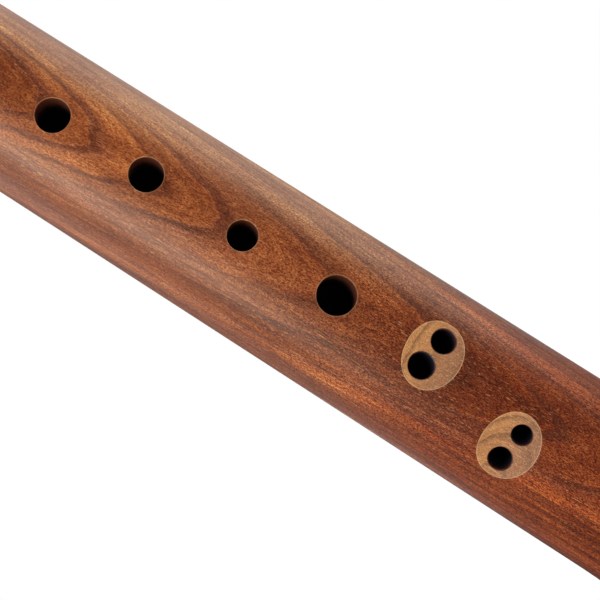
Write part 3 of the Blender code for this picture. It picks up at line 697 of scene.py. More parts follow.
def grooved(piece, count, turns, depth, low, high, inner):
    """Threads or knurls a turned piece that still lies along Z. Its lengths are millimetres."""
    GROOVING.run(
        piece,
        Count=float(count),
        Turns=turns / MM,
        Depth=depth * MM,
        Low=low * MM,
        High=high * MM,
        Inner=inner * MM,
        Finish=piece.data.materials[0],
    )


def arc(centre, radius, start, end, steps):
    """Points on an arc in a plane, with its angles in degrees."""
    angles = [math.radians(start + (end - start) * i / steps) for i in range(steps + 1)]
    return [(centre[0] + radius * math.cos(a), centre[1] + radius * math.sin(a)) for a in angles]


def rounded_rectangle(half_width, low, high, corner, steps=6):
    """Points round a rectangle with round corners, half_width to each side and from low to high."""
    middle, half_height = (low + high) / 2, (high - low) / 2
    corner = min(corner, 0.98 * half_width, 0.98 * half_height)
    points = []
    for quarter, (sx, sy) in enumerate(((1, 1), (-1, 1), (-1, -1), (1, -1))):
        centre = (sx * (half_width - corner), middle + sy * (half_height - corner))
        points += arc(centre, corner, 90 * quarter, 90 * quarter + 90, steps)
    return points


def flowing(stations, steps):
    """Rows of numbers, with smoothly curving rows filled in between them."""
    rows = np.array([stations[0], *stations, stations[-1]], dtype=float)
    result = []
    for i in range(1, len(rows) - 2):
        a, b, c, d = rows[i - 1 : i + 3]
        for step in range(steps):
            t = step / steps
            bend = (c - a) * t + (2 * a - 5 * b + 4 * c - d) * t**2 + (3 * b - a - 3 * c + d) * t**3
            result.append(b + bend / 2)
    return result + [rows[-1]]


def rod(radius, low, high, edge=0.0):
    """Outline of a plain round rod whose edges are rounded."""
    return [(0, low), (radius, low, edge), (radius, high, edge), (0, high)]


def column(radius, start, end, step):
    """Close points along a straight part of an outline, which is to be threaded or knurled."""
    count = round(abs(end - start) / step)
    return [(radius, start + (end - start) * i / count) for i in range(1, count)]


def drilled(piece, radius, low, high, *places):
    """Drills a round hole along local Z at each place."""
    material = piece.data.materials[0]
    drill = rod(radius, low, high)
    combine(piece, [turned(f"drill_{i}", drill, material, 48, place) for i, place in enumerate(places)])


def slotted(piece, half_width, half_length, low, high, place=Matrix()):
    """Saws a screwdriver slot across a screw's head."""
    signs = ((-1, -1), (1, -1), (1, 1), (-1, 1))
    rings = [[(half_width * sx, half_length * sy, z) for sx, sy in signs] for z in (low, high)]
    combine(piece, [skinned("slot", rings, place, [piece.data.materials[0]])])


def combine(piece, tools, operation="DIFFERENCE"):
    """Cuts, joins or trims a piece with tools, which are then removed."""
    for tool in tools:
        step = piece.modifiers.new(tool.name, "BOOLEAN")
        step.operation = operation
        step.solver = "EXACT"
        step.material_mode = "TRANSFER"
        step.object = tool
    settle(piece)
    for tool in tools:
        bpy.data.objects.remove(tool, do_unlink=True)


def joined(name, pieces):
    """Joins separate meshes into one piece."""
    bm = bmesh.new()
    for piece in pieces:
        bm.from_mesh(piece.data)
    mesh = bpy.data.meshes.new(name)
    for material in pieces[0].data.materials:
        mesh.materials.append(material)
    bm.to_mesh(mesh)
    bm.free()
    whole = bpy.data.objects.new(name, mesh)
    bpy.context.scene.collection.objects.link(whole)
    for piece in pieces:
        bpy.data.objects.remove(piece, do_unlink=True)
    return whole


def shade(piece, sharp=35):
    """Shades a piece smooth, except over edges of more than the sharp angle."""
    piece.data.shade_smooth()
    piece.data.set_sharp_from_angle(angle=math.radians(sharp))


def hand_over(piece, node, body, sharp=35):
    """Shades a piece and gives it to the frame in place of its CAD node."""
    shade(piece, sharp)
    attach(piece, body)
    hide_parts(node)


# Wooden body


def circle(radius, count, x=0.0, y=0.0):
    """Points round a circle in the plane across a hole."""
    steps = [math.tau * i / count for i in range(count)]
    return [(x + radius * math.cos(a), y + radius * math.sin(a)) for a in steps]


# How far the surfaces that holes open in stand out, at x across and y along from a cut's middle at height z


def tube_out(z, x, y):
    """The tube's outside."""
    return math.sqrt(body_radius(z + y) ** 2 - x * x)


def dish_out(z, x, y):
    """A dish's drum-shaped floor, which is level across."""
    return body_radius(z) - DISH_DEPTH + DISH_DRUM_RADIUS - math.sqrt(DISH_DRUM_RADIUS**2 - y * y)


def seat_out(z, x, y):
    """A key's flat seat."""
    return SEAT_OUT


def hole_tool(name, azimuth, z, radius, edge, surface, finishes, x=0.0, y=0.0, edge_finish=RAW):
    """A drill whose shoulder follows the surface round the hole, which breaks the edge evenly."""
    count = 96
    wall = circle(radius, count, x, y)
    wide = circle(radius + 2 * edge, count, x, y)
    rings = [
        [(px, py, DRILL_INNER) for px, py in wall],
        [(px, py, surface(z, px, py) - edge) for px, py in wall],
        [(px, py, surface(z, px, py) + edge) for px, py in wide],
        [(px, py, DRILL_OUTER) for px, py in wide],
    ]
    return skinned(name, rings, facing(azimuth, z), finishes, bands=(BORED, edge_finish, edge_finish))


def dish_rim(z, angle):
    """Distance from a dish's middle to its rim, where its floor meets the tube's surface."""
    near, far = 0.0, 9.0
    for _ in range(40):
        middle = (near + far) / 2
        x, y = middle * math.cos(angle), middle * math.sin(angle)
        if tube_out(z, x, y) > dish_out(z, x, y):
            near = middle
        else:
            far = middle
    return near


def dish_tool(name, azimuth, z, finishes):
    """The oval dish's cutter, with its rim broken by a narrow flat."""
    count = 120
    angles = [math.tau * i / count for i in range(count)]
    rims = [dish_rim(z, angle) for angle in angles]

    def oval(share, wider):
        """Points at a share of the way to the rim, and then a little further out."""
        reaches = [share * rim + wider for rim in rims]
        return [(reach * math.cos(a), reach * math.sin(a)) for reach, a in zip(reaches, angles)]

    shares = (0.02, 0.15, 0.3, 0.45, 0.6, 0.75, 0.88)
    floors = [oval(share, 0.0) for share in shares] + [oval(1.0, -DISH_EDGE)]
    rings = [[(x, y, dish_out(z, x, y)) for x, y in floor] for floor in floors]
    outer = oval(1.0, DISH_EDGE)
    rings.append([(x, y, tube_out(z, x, y) + 0.02) for x, y in outer])
    rings.append([(x, y, DRILL_OUTER) for x, y in outer])
    bands = [RAW] * (len(rings) - 3) + [PALE_RIM, PALE_RIM]
    return skinned(name, rings, facing(azimuth, z), finishes, bands=bands)


def body_outline():
    """The tube's outline: up the outside, over the ring's seat into the socket, and down the bore."""
    outer_foot = 3.0
    outer_rows = int((RING_FOOT_Z - outer_foot) / BODY_ROW)
    outer = [outer_foot + (RING_FOOT_Z - outer_foot) * i / outer_rows for i in range(outer_rows)]
    bore = [BELL_HEIGHT + (SOCKET_FOOT_Z - BELL_HEIGHT) * i / 60 for i in range(60, -1, -1)]
    bell = [BELL_HEIGHT * (1 - i / 12) for i in range(1, 12)]
    chamfer = 0.6
    outline = [(body_radius(RIM_ROUND), 0.0, RIM_ROUND)]
    outline += [(body_radius(z), z) for z in outer]
    outline += [
        (body_radius(RING_FOOT_Z), RING_FOOT_Z, 0.2),
        (RING_SEAT_RADIUS, RING_FOOT_Z),
        (RING_SEAT_RADIUS, BODY_LENGTH, 0.1),
        (SOCKET_RADIUS + chamfer, BODY_LENGTH),
        (SOCKET_RADIUS, BODY_LENGTH - chamfer),
        (SOCKET_RADIUS, SOCKET_FOOT_Z),
    ]
    outline += [(BORE_RADIUS, z) for z in bore]
    outline += [(BORE_RADIUS + BELL_FLARE * (1 - z / BELL_HEIGHT) ** 2, z) for z in bell]
    return outline + [(BORE_RADIUS + BELL_FLARE, 0.0, 0.5)]


def key_tools(key, azimuth, z, oiled):
    """Cutters of a key's flat seat with its raised ring, and of its posts' holes with their spot faces."""
    seat = [
        (0, SEAT_OUT),
        (SEAT_RING_RADIUS, SEAT_OUT, 0.1),
        (SEAT_RING_RADIUS + 0.6, SEAT_OUT - SEAT_TRENCH, 0.1),
        (SEAT_RADIUS, SEAT_OUT - SEAT_TRENCH, 0.2),
        (SEAT_RADIUS, DRILL_OUTER),
        (0, DRILL_OUTER),
    ]
    spot = body_radius(z) - SPOT_FACE_DEPTH
    stem = [
        (0, POST_STEM_BOTTOM - GAP),
        (POST_STEM_RADIUS + GAP, POST_STEM_BOTTOM - GAP),
        (POST_STEM_RADIUS + GAP, spot),
        (SPOT_FACE_RADIUS, spot, 0.1),
        (SPOT_FACE_RADIUS, DRILL_OUTER),
        (0, DRILL_OUTER),
    ]
    tools = [turned(f"{key}_seat", seat, oiled, 96, facing(azimuth, z + PAD_REACH))]
    for side in (-1, 1):
        place = facing(azimuth + side * POST_LEAN, z)
        tools.append(turned(f"{key}_stem_{side}", stem, oiled, 48, place))
    return tools


def make_body(finishes):
    """The turned tube, cut first by everything at its surface and then by what opens inside those cuts."""
    oiled = finishes[OILED]
    body = turned("fine_body", body_outline(), oiled, BODY_SIDES, corner_steps=6)
    for material in finishes[1:]:
        body.data.materials.append(material)
    for face in body.data.polygons:
        if math.hypot(face.center.x, face.center.y) < (SOCKET_RADIUS + 0.1) * MM:
            face.material_index = BORED
    tools = []
    for i, (azimuth, z, _) in enumerate(DOUBLE_HOLES):
        tools.append(dish_tool(f"dish_{i}", azimuth, z, finishes))
    singles = [(0.0, *hole) for hole in SINGLE_HOLES] + [(180.0, *THUMB_HOLE)]
    for i, (azimuth, z, radius) in enumerate(singles):
        tools.append(hole_tool(f"hole_{i}", azimuth, z, radius, HOLE_EDGE, tube_out, finishes))
    for key, (azimuth, z) in KEYS.items():
        tools += key_tools(key, azimuth, z, oiled)
    pilot = rod(THUMB_REST_HOLE_RADIUS, 11.7, 30.0)
    for side in (-1, 1):
        place = facing(180.0, THUMB_REST_Z) @ offset(y=side * THUMB_REST_SCREW_Y)
        tools.append(turned(f"pilot_{side}", pilot, oiled, 36, place))
    combine(body, [joined("first_cuts", tools)])
    tools = []
    for key, (azimuth, z) in KEYS.items():
        hole = (f"{key}_hole", azimuth, z + PAD_REACH, KEY_TONE_HOLE_RADIUS)
        tools.append(hole_tool(*hole, SEAT_HOLE_EDGE, seat_out, finishes))
    for i, (azimuth, z, pair) in enumerate(DOUBLE_HOLES):
        for j, (across, along, radius) in enumerate(pair):
            hole = (f"double_{i}_{j}", azimuth, z, radius)
            tools.append(hole_tool(*hole, SMALL_HOLE_EDGE, dish_out, finishes, across, along, BORED))
    combine(body, [joined("second_cuts", tools)])
    hand_over(body, "body", "root")


# Metal ring and mouthpiece

# By height: where the beak's back lies along Y, and how far each cheek stands out from the bore's axis
BEAK_LINE = [(240.0, -30.0), (276.5, -17.0), (287.0, -11.3), (298.2, -5.0), (308.0, 0.25), (318.0, 5.39)]
CHEEK_LINE = [(240.0, 40.0), (280.0, 16.0), (286.0, 11.2), (292.0, 9.5)]
CHEEK_LINE += [(300.0, 7.9), (309.0, 6.75), (318.0, 6.1)]
BEAK = np.array(flowing(BEAK_LINE, 8))
CHEEK = np.array(flowing(CHEEK_LINE, 8))


def make_socket_ring(material):
    """The beaded ring let into the top of the wood."""
    foot = RING_FOOT_Z + GAP
    inner, outer = RING_SEAT_RADIUS + GAP, 15.7
    outline = [(inner, foot, 0.1), (outer, foot, 0.1)]
    for low, high in ((foot + 0.1, foot + 1.5), (BODY_LENGTH - 1.7, BODY_LENGTH - 0.3)):
        bead = arc((15.42, (low + high) / 2), 0.62, -60, 60, 12)
        outline += [(outer, low, 0.1), *bead, (outer, high, 0.1)]
    outline += [(outer, BODY_LENGTH, 0.15), (inner, BODY_LENGTH, 0.15)]
    ring = turned("fine_socket_ring", outline, material, 160)
    hand_over(ring, "socket_ring", "root")


def table_out(z):
    """How far the mouthpiece's table stands out from the bore's axis at height z."""
    return TABLE_FOOT_OUT - (z - TABLE_FOOT_Z) * math.tan(math.radians(TABLE_TILT))


def lay_out(z):
    """The table, its lay bent away towards the tip, and the steep slope at its foot."""
    slope_height = 1.2
    if z <= TABLE_FOOT_Z - slope_height:
        return 60.0
    share = max(0.0, (z - LAY_START_Z) / (OVERALL_LENGTH - LAY_START_Z))
    foot = max(0.0, TABLE_FOOT_Z - z) * 5.0 / slope_height
    return table_out(z) - TIP_OPENING * share**2 + foot


def tip_half(z, radius):
    """Half the width at height z under an arc of a radius round the tip's centre."""
    above = max(0.0, z - OVERALL_LENGTH + TIP_ARC_RADIUS)
    return math.sqrt(max(0.01, radius**2 - above**2))


def mouthpiece_ring(z, radius):
    """One section: a circle, pinched softly by the beak and the cheeks, and cut off sharply by the table."""
    beak = np.interp(z, BEAK[:, 0], BEAK[:, 1])
    cheek = np.interp(z, CHEEK[:, 0], CHEEK[:, 1])
    if z > OVERALL_LENGTH - TIP_ARC_RADIUS + 9.0:
        cheek = min(cheek, tip_half(z, TIP_ARC_RADIUS))
    table = lay_out(z)
    middle = (max(beak, -radius) + min(table, radius)) / 2
    # The nearest of circle, beak and cheek counts, with soft corners between them
    angle = np.linspace(math.pi / 2, -math.pi / 2, 1200)[1:-1]
    sine, cosine = np.sin(angle), np.cos(angle)
    to_circle = -middle * sine + np.sqrt(radius**2 - (middle * cosine) ** 2)
    to_beak = np.where(sine < 0, (beak - middle) / np.minimum(sine, -1e-6), 1e3)
    reach = (to_circle**-12 + to_beak**-12 + (cheek / cosine) ** -12.0) ** (-1 / 12)
    x, y = reach * cosine, middle + reach * sine
    # What stands over the table goes, and a sharp corner stays
    table = min(table, y[0] - 0.004)
    kept = y <= table
    first = int(np.argmax(kept))
    share = (y[first - 1] - table) / (y[first - 1] - y[first])
    corner = x[first - 1] + (x[first] - x[first - 1]) * share
    x, y = np.append(corner, x[kept]), np.append(table, y[kept])
    # Even steps round the section, so that the sections join up well
    along = np.append(0.0, np.cumsum(np.hypot(np.diff(x), np.diff(y))))
    even = np.linspace(0.0, along[-1], MOUTHPIECE_HALF_POINTS)
    x, y = np.interp(even, along, x), np.interp(even, along, y)
    right = list(zip(x, y))
    left = [(-px, py) for px, py in reversed(right)]
    flat = [(px, table) for px in np.linspace(-corner, corner, 26)[1:-1]]
    return [(px, py, z) for px, py in right + left[1:] + flat]


def chamber_ring(z, roof):
    """A section of the hollow behind the reed, whose floor rises to the tip."""
    low, high = 287.5, WINDOW_TOP_Z
    share = max(0.0, (z - low) / (high - low))
    floor = -CHAMBER_OUT + (lay_out(high) - 0.2 + CHAMBER_OUT) * share**0.8
    half = min(WINDOW_HALF_WIDTH, tip_half(z, TIP_ARC_RADIUS + WINDOW_TOP_Z - OVERALL_LENGTH))
    return [(x, y, z) for x, y in rounded_rectangle(half, floor, roof, 1.6)]


def mouthpiece_radii():
    """Heights and radii of the mouthpiece: the tenon, with a groove for its cork, and then the body."""
    rows = [(243.3, 9.4), (243.4, 9.65), (243.7, 9.8), (244.9, 9.8), (245.0, 9.7), (245.0, 9.0)]
    rows += [(256.0, 9.0), (256.0, 9.7), (256.1, 9.8), (258.3, 9.8)]
    rows += [(258.3, 12.9), (258.4, 13.2), (258.7, 13.38), (259.0, 13.4), (260.5, 13.4), (260.75, 13.38)]
    rows += [(260.9 + 0.1 * i, 13.4 - 0.5 * math.sin(math.pi / 2 * i / 5)) for i in range(6)]
    seat = [(LIGATURE_LOW_Z, LIGATURE_SEAT_LOW_RADIUS), (LIGATURE_HIGH_Z, LIGATURE_SEAT_HIGH_RADIUS)]
    body_heights, body_radii = zip((261.4, 12.89), (262.0, 12.84), *seat, (320.0, 10.6))
    heights = [261.5, 261.6, 261.7, 261.8, 261.9]
    heights += list(np.linspace(262.0, 315.6, 108)) + list(np.linspace(315.7, 317.98, 30))
    return rows + [(z, np.interp(z, body_heights, body_radii)) for z in heights]


def make_mouthpiece(material):
    """Skins the mouthpiece through its sections, then bores it and opens its window."""
    sections = [mouthpiece_ring(z, radius) for z, radius in mouthpiece_radii()]
    piece = skinned("fine_mouthpiece", sections, finishes=[material])
    bore = [(0, 242.0), (6.9, 242.0), (6.4, 243.8, 0.3), (5.9, 286.0, 0.5), (4.5, 288.0, 1.0), (0, 288.0)]
    chamber_foot, open_roof = 285.0, 14.0
    throat_roofs = (CHAMBER_OUT, table_out(WINDOW_FOOT_Z) - 0.8)
    rings = []
    for z in (chamber_foot, 287.5, WINDOW_FOOT_Z):
        rings.append(chamber_ring(z, np.interp(z, (chamber_foot, WINDOW_FOOT_Z), throat_roofs)))
    rings += [chamber_ring(z, open_roof) for z in np.linspace(WINDOW_FOOT_Z, 315.0, 40)]
    rings += [chamber_ring(z, open_roof) for z in np.linspace(315.1, WINDOW_TOP_Z, 20)]
    combine(piece, [turned("bore", bore, material, 96), skinned("chamber", rings, finishes=[material])])
    hand_over(piece, "mouthpiece", "mouthpiece")


def make_tenon_cork(material):
    """The cork sleeve in the tenon's groove, a little worn at its edges."""
    outline = [(9.3, 245.3), (9.9, 245.3, 0.2), (10.2, 245.9, 0.3)]
    outline += [(10.2, 255.1, 0.3), (9.9, 255.7, 0.2), (9.3, 255.7)]
    cork = turned("fine_tenon_cork", outline, material, 96)
    hand_over(cork, "tenon_cork", "mouthpiece")


def bark_height(x):
    """Height of the uncut bark over the reed's flat back."""
    return REED_THICKNESS - REED_BARK_RADIUS + math.sqrt(REED_BARK_RADIUS**2 - x * x)


def reed_ring(y):
    """A section across the reed: bark or vamp above, and a flat back."""
    half = REED_HEEL_HALF_WIDTH + (TIP_HALF_WIDTH - REED_HEEL_HALF_WIDTH) * y / REED_LENGTH
    slope = min(1.0, (REED_LENGTH - y) / (REED_LENGTH - REED_VAMP_START))
    vamp = REED_TIP_THICKNESS + (REED_THICKNESS - REED_TIP_THICKNESS) * slope**1.25
    ring = []
    for side in np.linspace(1.0, -1.0, 49):
        x = half * side
        ring.append((x, min(bark_height(x), vamp * (1.0 - 0.3 * side**2))))
    ring += [(half * side, 0.0) for side in np.linspace(-1.0, 1.0, 13)]
    near_tip = (y / REED_LENGTH) ** 6
    return [(x, y - near_tip * (TIP_ARC_RADIUS - math.sqrt(TIP_ARC_RADIUS**2 - x * x)), z) for x, z in ring]


def make_reed(material):
    """The cane reed, lying on the table with its heel just above the table's foot."""
    rows = [*np.linspace(0.0, REED_VAMP_START - 1, 14), *np.linspace(REED_VAMP_START, REED_LENGTH, 80)]
    reed = skinned("fine_reed", [reed_ring(y) for y in rows], finishes=[material])
    scraped = reed.data.attributes.new("scraped", "FLOAT", "POINT")
    cut = [bark_height(v.co.x / MM) - v.co.z / MM for v in reed.data.vertices]
    scraped.data.foreach_set("value", [min(1.0, max(0.0, depth / 0.06)) for depth in cut])
    table = facing(180, TABLE_FOOT_Z, TABLE_FOOT_OUT) @ Matrix.Rotation(math.radians(-TABLE_TILT), 4, "X")
    reed.data.transform(table @ offset(y=GAP, z=GAP))
    hand_over(reed, "reed", "reed", sharp=25)


def ligature_inner(angle, z):
    """Inner radius of the band at an angle from +Y: round on the mouthpiece, and flat across the reed."""
    share = (z - LIGATURE_LOW_Z) / (LIGATURE_HIGH_Z - LIGATURE_LOW_Z)
    around = LIGATURE_SEAT_LOW_RADIUS + (LIGATURE_SEAT_HIGH_RADIUS - LIGATURE_SEAT_LOW_RADIUS) * share + GAP
    across = table_out(z) + GAP + REED_THICKNESS + GAP
    flat_end, round_start = math.radians(25), math.radians(55)
    if angle <= flat_end:
        return across / math.cos(angle)
    blend = min(1.0, (angle - flat_end) / (round_start - flat_end))
    blend = blend * blend * (3.0 - 2.0 * blend)
    return across / math.cos(flat_end) * (1.0 - blend) + around * blend


def ligature_profile():
    """The band's thickness in section, as (layer, height): two rolled edges, and a line cut beside each."""
    low, high, thick = LIGATURE_LOW_Z, LIGATURE_HIGH_Z, LIGATURE_THICKNESS
    line_depth = 0.16
    outer = [(0.2, high), (thick - 0.2, high), (thick - 0.05, high - 0.06), (thick, high - 0.25)]
    for line in (high - 1.7, low + 1.7):
        outer += [(thick, line + 0.3), (thick - line_depth, line + 0.18)]
        outer += [(thick - line_depth, line - 0.18), (thick, line - 0.3)]
    outer.insert(8, (thick, (low + high) / 2))
    outer += [(thick, low + 0.25), (thick - 0.05, low + 0.06), (thick - 0.2, low), (0.2, low)]
    return [(0.0, z) for z in np.linspace(low + 0.2, high - 0.2, 12)] + outer


def ligature_post(name, z, side, foot, material):
    """Half a screw's barrel, which stands on the band beside its gap, with its ends broken."""
    outline = arc((SCREW_OUT, z), SCREW_RADIUS + 1.3, -125, 125, 40)
    outline += [(foot, z + SCREW_POST_HALF_HEIGHT), (foot, z - SCREW_POST_HALF_HEIGHT)]
    end = ((0.0, 0.93), (0.06, 0.97), (0.2, 1.0))
    sections = [(SCREW_POST_INNER + depth, size) for depth, size in end]
    sections += [(SCREW_POST_OUTER - depth, size) for depth, size in reversed(end)]
    rings = []
    for x, size in sections:
        ring = [(SCREW_POST_MIDDLE_OUT + (y - SCREW_POST_MIDDLE_OUT) * size, pz) for y, pz in outline]
        rings.append([(side * x, y, z + (pz - z) * size) for y, pz in ring])
    return skinned(name, rings, finishes=[material])


def make_ligature(material):
    """The split band, with a drilled barrel on each side of its gap for each of the two screws."""
    start = math.atan2(SCREW_POST_INNER, table_out(LIGATURE_LOW_Z) + REED_THICKNESS)
    steps = 150
    rings = []
    for step in range(steps + 1):
        turn = start + (math.tau - 2 * start) * step / steps
        squeeze = {0: 0.5, 1: 0.85}.get(min(step, steps - step), 1.0)
        ring = []
        for layer, z in ligature_profile():
            layer = LIGATURE_THICKNESS / 2 + (layer - LIGATURE_THICKNESS / 2) * squeeze
            radius = ligature_inner(min(turn, math.tau - turn), z) + layer
            ring.append((radius * math.sin(turn), radius * math.cos(turn), z))
        rings.append(ring)
    band = skinned("fine_ligature_band", rings, finishes=[material])
    foot = table_out(LIGATURE_HIGH_Z) + REED_THICKNESS + 0.75
    heights = SCREW_HEIGHTS.values()
    posts = [ligature_post(f"post_{z}_{side}", z, side, foot, material) for z in heights for side in (-1, 1)]
    combine(band, posts, "UNION")
    drilled(band, SCREW_RADIUS + GAP, -8, 8, *[offset(y=SCREW_OUT, z=z) @ ALONG_X for z in heights])
    hand_over(band, "ligature_band", "ligature")


def make_ligature_screws(material):
    """Two threaded thumb screws with knurled heads at the player's right."""
    face = -SCREW_POST_OUTER - GAP
    outline = [(0, SCREW_TIP + 0.3), (0.7, SCREW_TIP + 0.3, 0.1), (SCREW_RADIUS, SCREW_TIP)]
    outline += column(SCREW_RADIUS, SCREW_TIP, face, 0.09) + [(SCREW_RADIUS, face)]
    outline += [(SCREW_COLLAR_RADIUS, face, 0.15), (SCREW_COLLAR_RADIUS, face - 0.8, 0.15)]
    outline += [(SCREW_HEAD_RADIUS, face - 1.3, 0.3)]
    outline += column(SCREW_HEAD_RADIUS, face - 1.7, face - 5.2, 0.11)
    outline += [(SCREW_HEAD_RADIUS, face - 5.6, 0.3)]
    outline += [(r, face - 6.7 + r * r / 14) for r in (2.6, 2.1, 1.6, 1.1, 0.6, 0)]
    for node, z in SCREW_HEIGHTS.items():
        screw = turned(f"fine_{node}", outline, material, 144)
        grooved(screw, 1, 2.0, 0.16, face + 0.3, SCREW_TIP, 0.9)
        for lean in (-0.55, 0.55):
            grooved(screw, 22, lean, 0.14, face - 5.4, face - 1.5, 2.6)
        screw.data.transform(offset(y=SCREW_OUT, z=z) @ ALONG_X)
        hand_over(screw, node, node, sharp=50)


# Keys


def make_key_lever(key, place, material):
    """Touch, arm, hinge tube and pad cup in one."""
    # The arm from the cup's end to the touch: place along it, half width, underside and top
    stations = [
        (14.6, 0.5, -0.55, -0.1),
        (14.5, 1.0, -0.7, 0.2),
        (14.0, 1.35, -0.8, 0.45),
        (12.0, 1.7, -0.8, 0.9),
        (7.0, 1.9, -0.5, 1.4),
        (2.6, 2.2, -0.7, 1.9),
        (0.0, 2.3, -0.9, 2.15),
        (-2.4, 2.2, 0.1, 1.95),
        (-6.2, 2.0, 0.1, 1.8),
        (-9.5, 2.2, 0.8, 2.1),
        (-13.0, 2.6, 1.2, 2.3),
    ]
    rings = []
    for y, half, low, high in flowing(stations, 8):
        rings.append([(x, y, z) for x, z in rounded_rectangle(half, low, high, 0.6)])
    lever = skinned(f"fine_{key}_lever", rings, place, [material])
    half_length, half_width = 5.6, 4.1
    touch = [(0, 1.05), (5.15, 1.05, 0.3), (half_length, 1.4, 0.3), (half_length, 2.0, 0.5)]
    touch += [(4.7, 2.45, 1.2), (3.0, 2.5), (0, 2.38)]
    oval = Matrix.Diagonal((half_width / half_length, 1.0, 1.0, 1.0))
    cup = [
        (0, 0.1),
        (3.0, 0.0, 1.2),
        (5.2, -0.4, 1.0),
        (5.9, -1.0, 0.5),
        (5.9, CUP_RIM, 0.12),
        (PAD_RADIUS + GAP, CUP_RIM, 0.12),
        (PAD_RADIUS + GAP, CUP_FLOOR),
        (0, CUP_FLOOR),
    ]
    parts = [
        turned("touch", touch, material, 96, place @ offset(y=-TOUCH_REACH) @ oval),
        turned("cup", cup, material, 96, place @ offset(y=PAD_REACH)),
        turned("hub", rod(HUB_RADIUS, -HUB_HALF, HUB_HALF, 0.25), material, 64, place @ ALONG_X),
    ]
    combine(lever, parts, "UNION")
    drilled(lever, AXLE_HOLE_RADIUS, -8, 8, place @ ALONG_X)
    drilled(lever, SPRING_SCREW_HOLE_RADIUS, -3, 1.35, place @ offset(y=SPRING_SCREW_Y))
    hand_over(lever, f"{key}_lever", key)


def make_key_soft_parts(key, place, leather, cork):
    """The pad, with the ring that its seat has pressed into it, and the cork bumper under the touch."""
    top = CUP_FLOOR - GAP
    foot = top - PAD_THICKNESS
    outline = [(0, foot + 0.04), (3.1, foot + 0.02, 0.1), (3.5, foot + 0.16, 0.15), (3.95, foot, 0.15)]
    outline += [(4.7, foot, 0.3), (PAD_RADIUS, foot + 0.55, 0.4), (PAD_RADIUS, top, 0.2), (0, top)]
    pad = turned(f"fine_{key}_pad", outline, leather, 96, place @ offset(y=PAD_REACH))
    hand_over(pad, f"{key}_pad", key)
    outline = rod(1.6, -0.25, 0.75, 0.2)
    bumper = turned(f"fine_{key}_bumper", outline, cork, 48, place @ offset(y=BUMPER_Y))
    hand_over(bumper, f"{key}_bumper", key)


def make_key_spring(key, place, spring_steel, steel):
    """The leaf spring, which bends between its screw and its free end on the wood, and its screw."""
    line = [(-2.7, -0.35), (-6.0, -0.35), (-7.2, -0.6), (-8.8, -1.2), (-10.6, -1.8), (-12.2, -2.02)]
    line += [(-13.6, -1.75)]
    wide, thick = SPRING_HALF_WIDTH, SPRING_HALF_THICKNESS
    rings = []
    for y, z in flowing(line, 10):
        taper = wide - 0.25 * (-y - 2.7) / 10.9
        into_tongue = max(0.0, wide - (y - SPRING_END_Y)) / wide
        half = min(taper, wide * math.sqrt(max(0.02, 1.0 - into_tongue**2)))
        rings.append([(x, y, pz) for x, pz in rounded_rectangle(half, z - thick, z + thick, 0.08, 3)])
    spring = skinned(f"fine_{key}_spring", rings, place, [spring_steel])
    drilled(spring, SPRING_SCREW_HOLE_RADIUS, -2, 1, place @ offset(y=SPRING_SCREW_Y))
    shade(spring)
    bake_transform(spring)
    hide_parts(f"{key}_spring")
    outline = [(0, -1.4), (0.9, -1.4, 0.1), (1.2, -1.2, 0.1), (1.2, -0.8, 0.05), (0.5, -0.8)]
    outline += column(0.5, -0.8, 1.0, 0.07) + [(0.5, 1.0, 0.1), (0, 1.0)]
    screw = turned(f"fine_{key}_spring_screw", outline, steel, 48)
    grooved(screw, 1, 2.8, 0.1, -0.7, 1.0, 0.44)
    slotted(screw, 0.16, 2.0, -1.5, -1.12)
    screw.data.transform(place @ offset(y=SPRING_SCREW_Y))
    hand_over(screw, f"{key}_spring_screw", key)


def make_key_posts(key, azimuth, z, place, nickel, steel):
    """Two ball-headed posts, square in the wood on each side of the hinge, and the slotted hinge rod."""
    ball_out = math.hypot(POST_HALF_SPAN, PIVOT_OUT)
    collar_radius, collar = 2.3, body_radius(z) - SPOT_FACE_DEPTH + GAP
    neck_angle = math.degrees(math.asin(POST_NECK_RADIUS / POST_BALL_RADIUS))
    ball = arc((0.0, ball_out), POST_BALL_RADIUS, -90 + neck_angle, 90, 30)
    outline = [
        (0, POST_STEM_BOTTOM),
        (POST_STEM_RADIUS, POST_STEM_BOTTOM, 0.2),
        (POST_STEM_RADIUS, collar),
        (collar_radius, collar, 0.1),
        (collar_radius, collar + 0.6, 0.2),
        (POST_NECK_RADIUS, collar + 1.1, 0.5),
    ]
    outline += ball[:-1] + [(0, ball_out + POST_BALL_RADIUS)]
    for side, word in ((-1, "left"), (1, "right")):
        stand = facing(azimuth + side * POST_LEAN, z)
        post = turned(f"fine_{key}_post_{word}", outline, nickel, 72, stand)
        drilled(post, AXLE_HOLE_RADIUS, -12, 12, place @ ALONG_X)
        hand_over(post, f"{key}_post_{word}", "root")
    head_radius, head = 1.3, POST_HALF_SPAN + POST_BALL_RADIUS + GAP
    thread_foot, thread_top = -7.8, -4.5
    outline = [(0, -8.0), (0.6, -8.0, 0.1), (AXLE_RADIUS, thread_foot)]
    outline += column(AXLE_RADIUS, thread_foot, thread_top, 0.08) + [(AXLE_RADIUS, thread_top)]
    outline += [(AXLE_RADIUS, head), (head_radius, head, 0.1)]
    outline += [(head_radius, head + 0.6, 0.2), (0, head + 0.9)]
    axle = turned(f"fine_{key}_axle", outline, steel, 64)
    grooved(axle, 1, 2.5, 0.12, -8.2, -4.6, 0.68)
    slotted(axle, 0.2, 2.0, head + 0.42, head + 2.0)
    axle.data.transform(place @ ALONG_X)
    hand_over(axle, f"{key}_axle", "root")


# Thumb rest


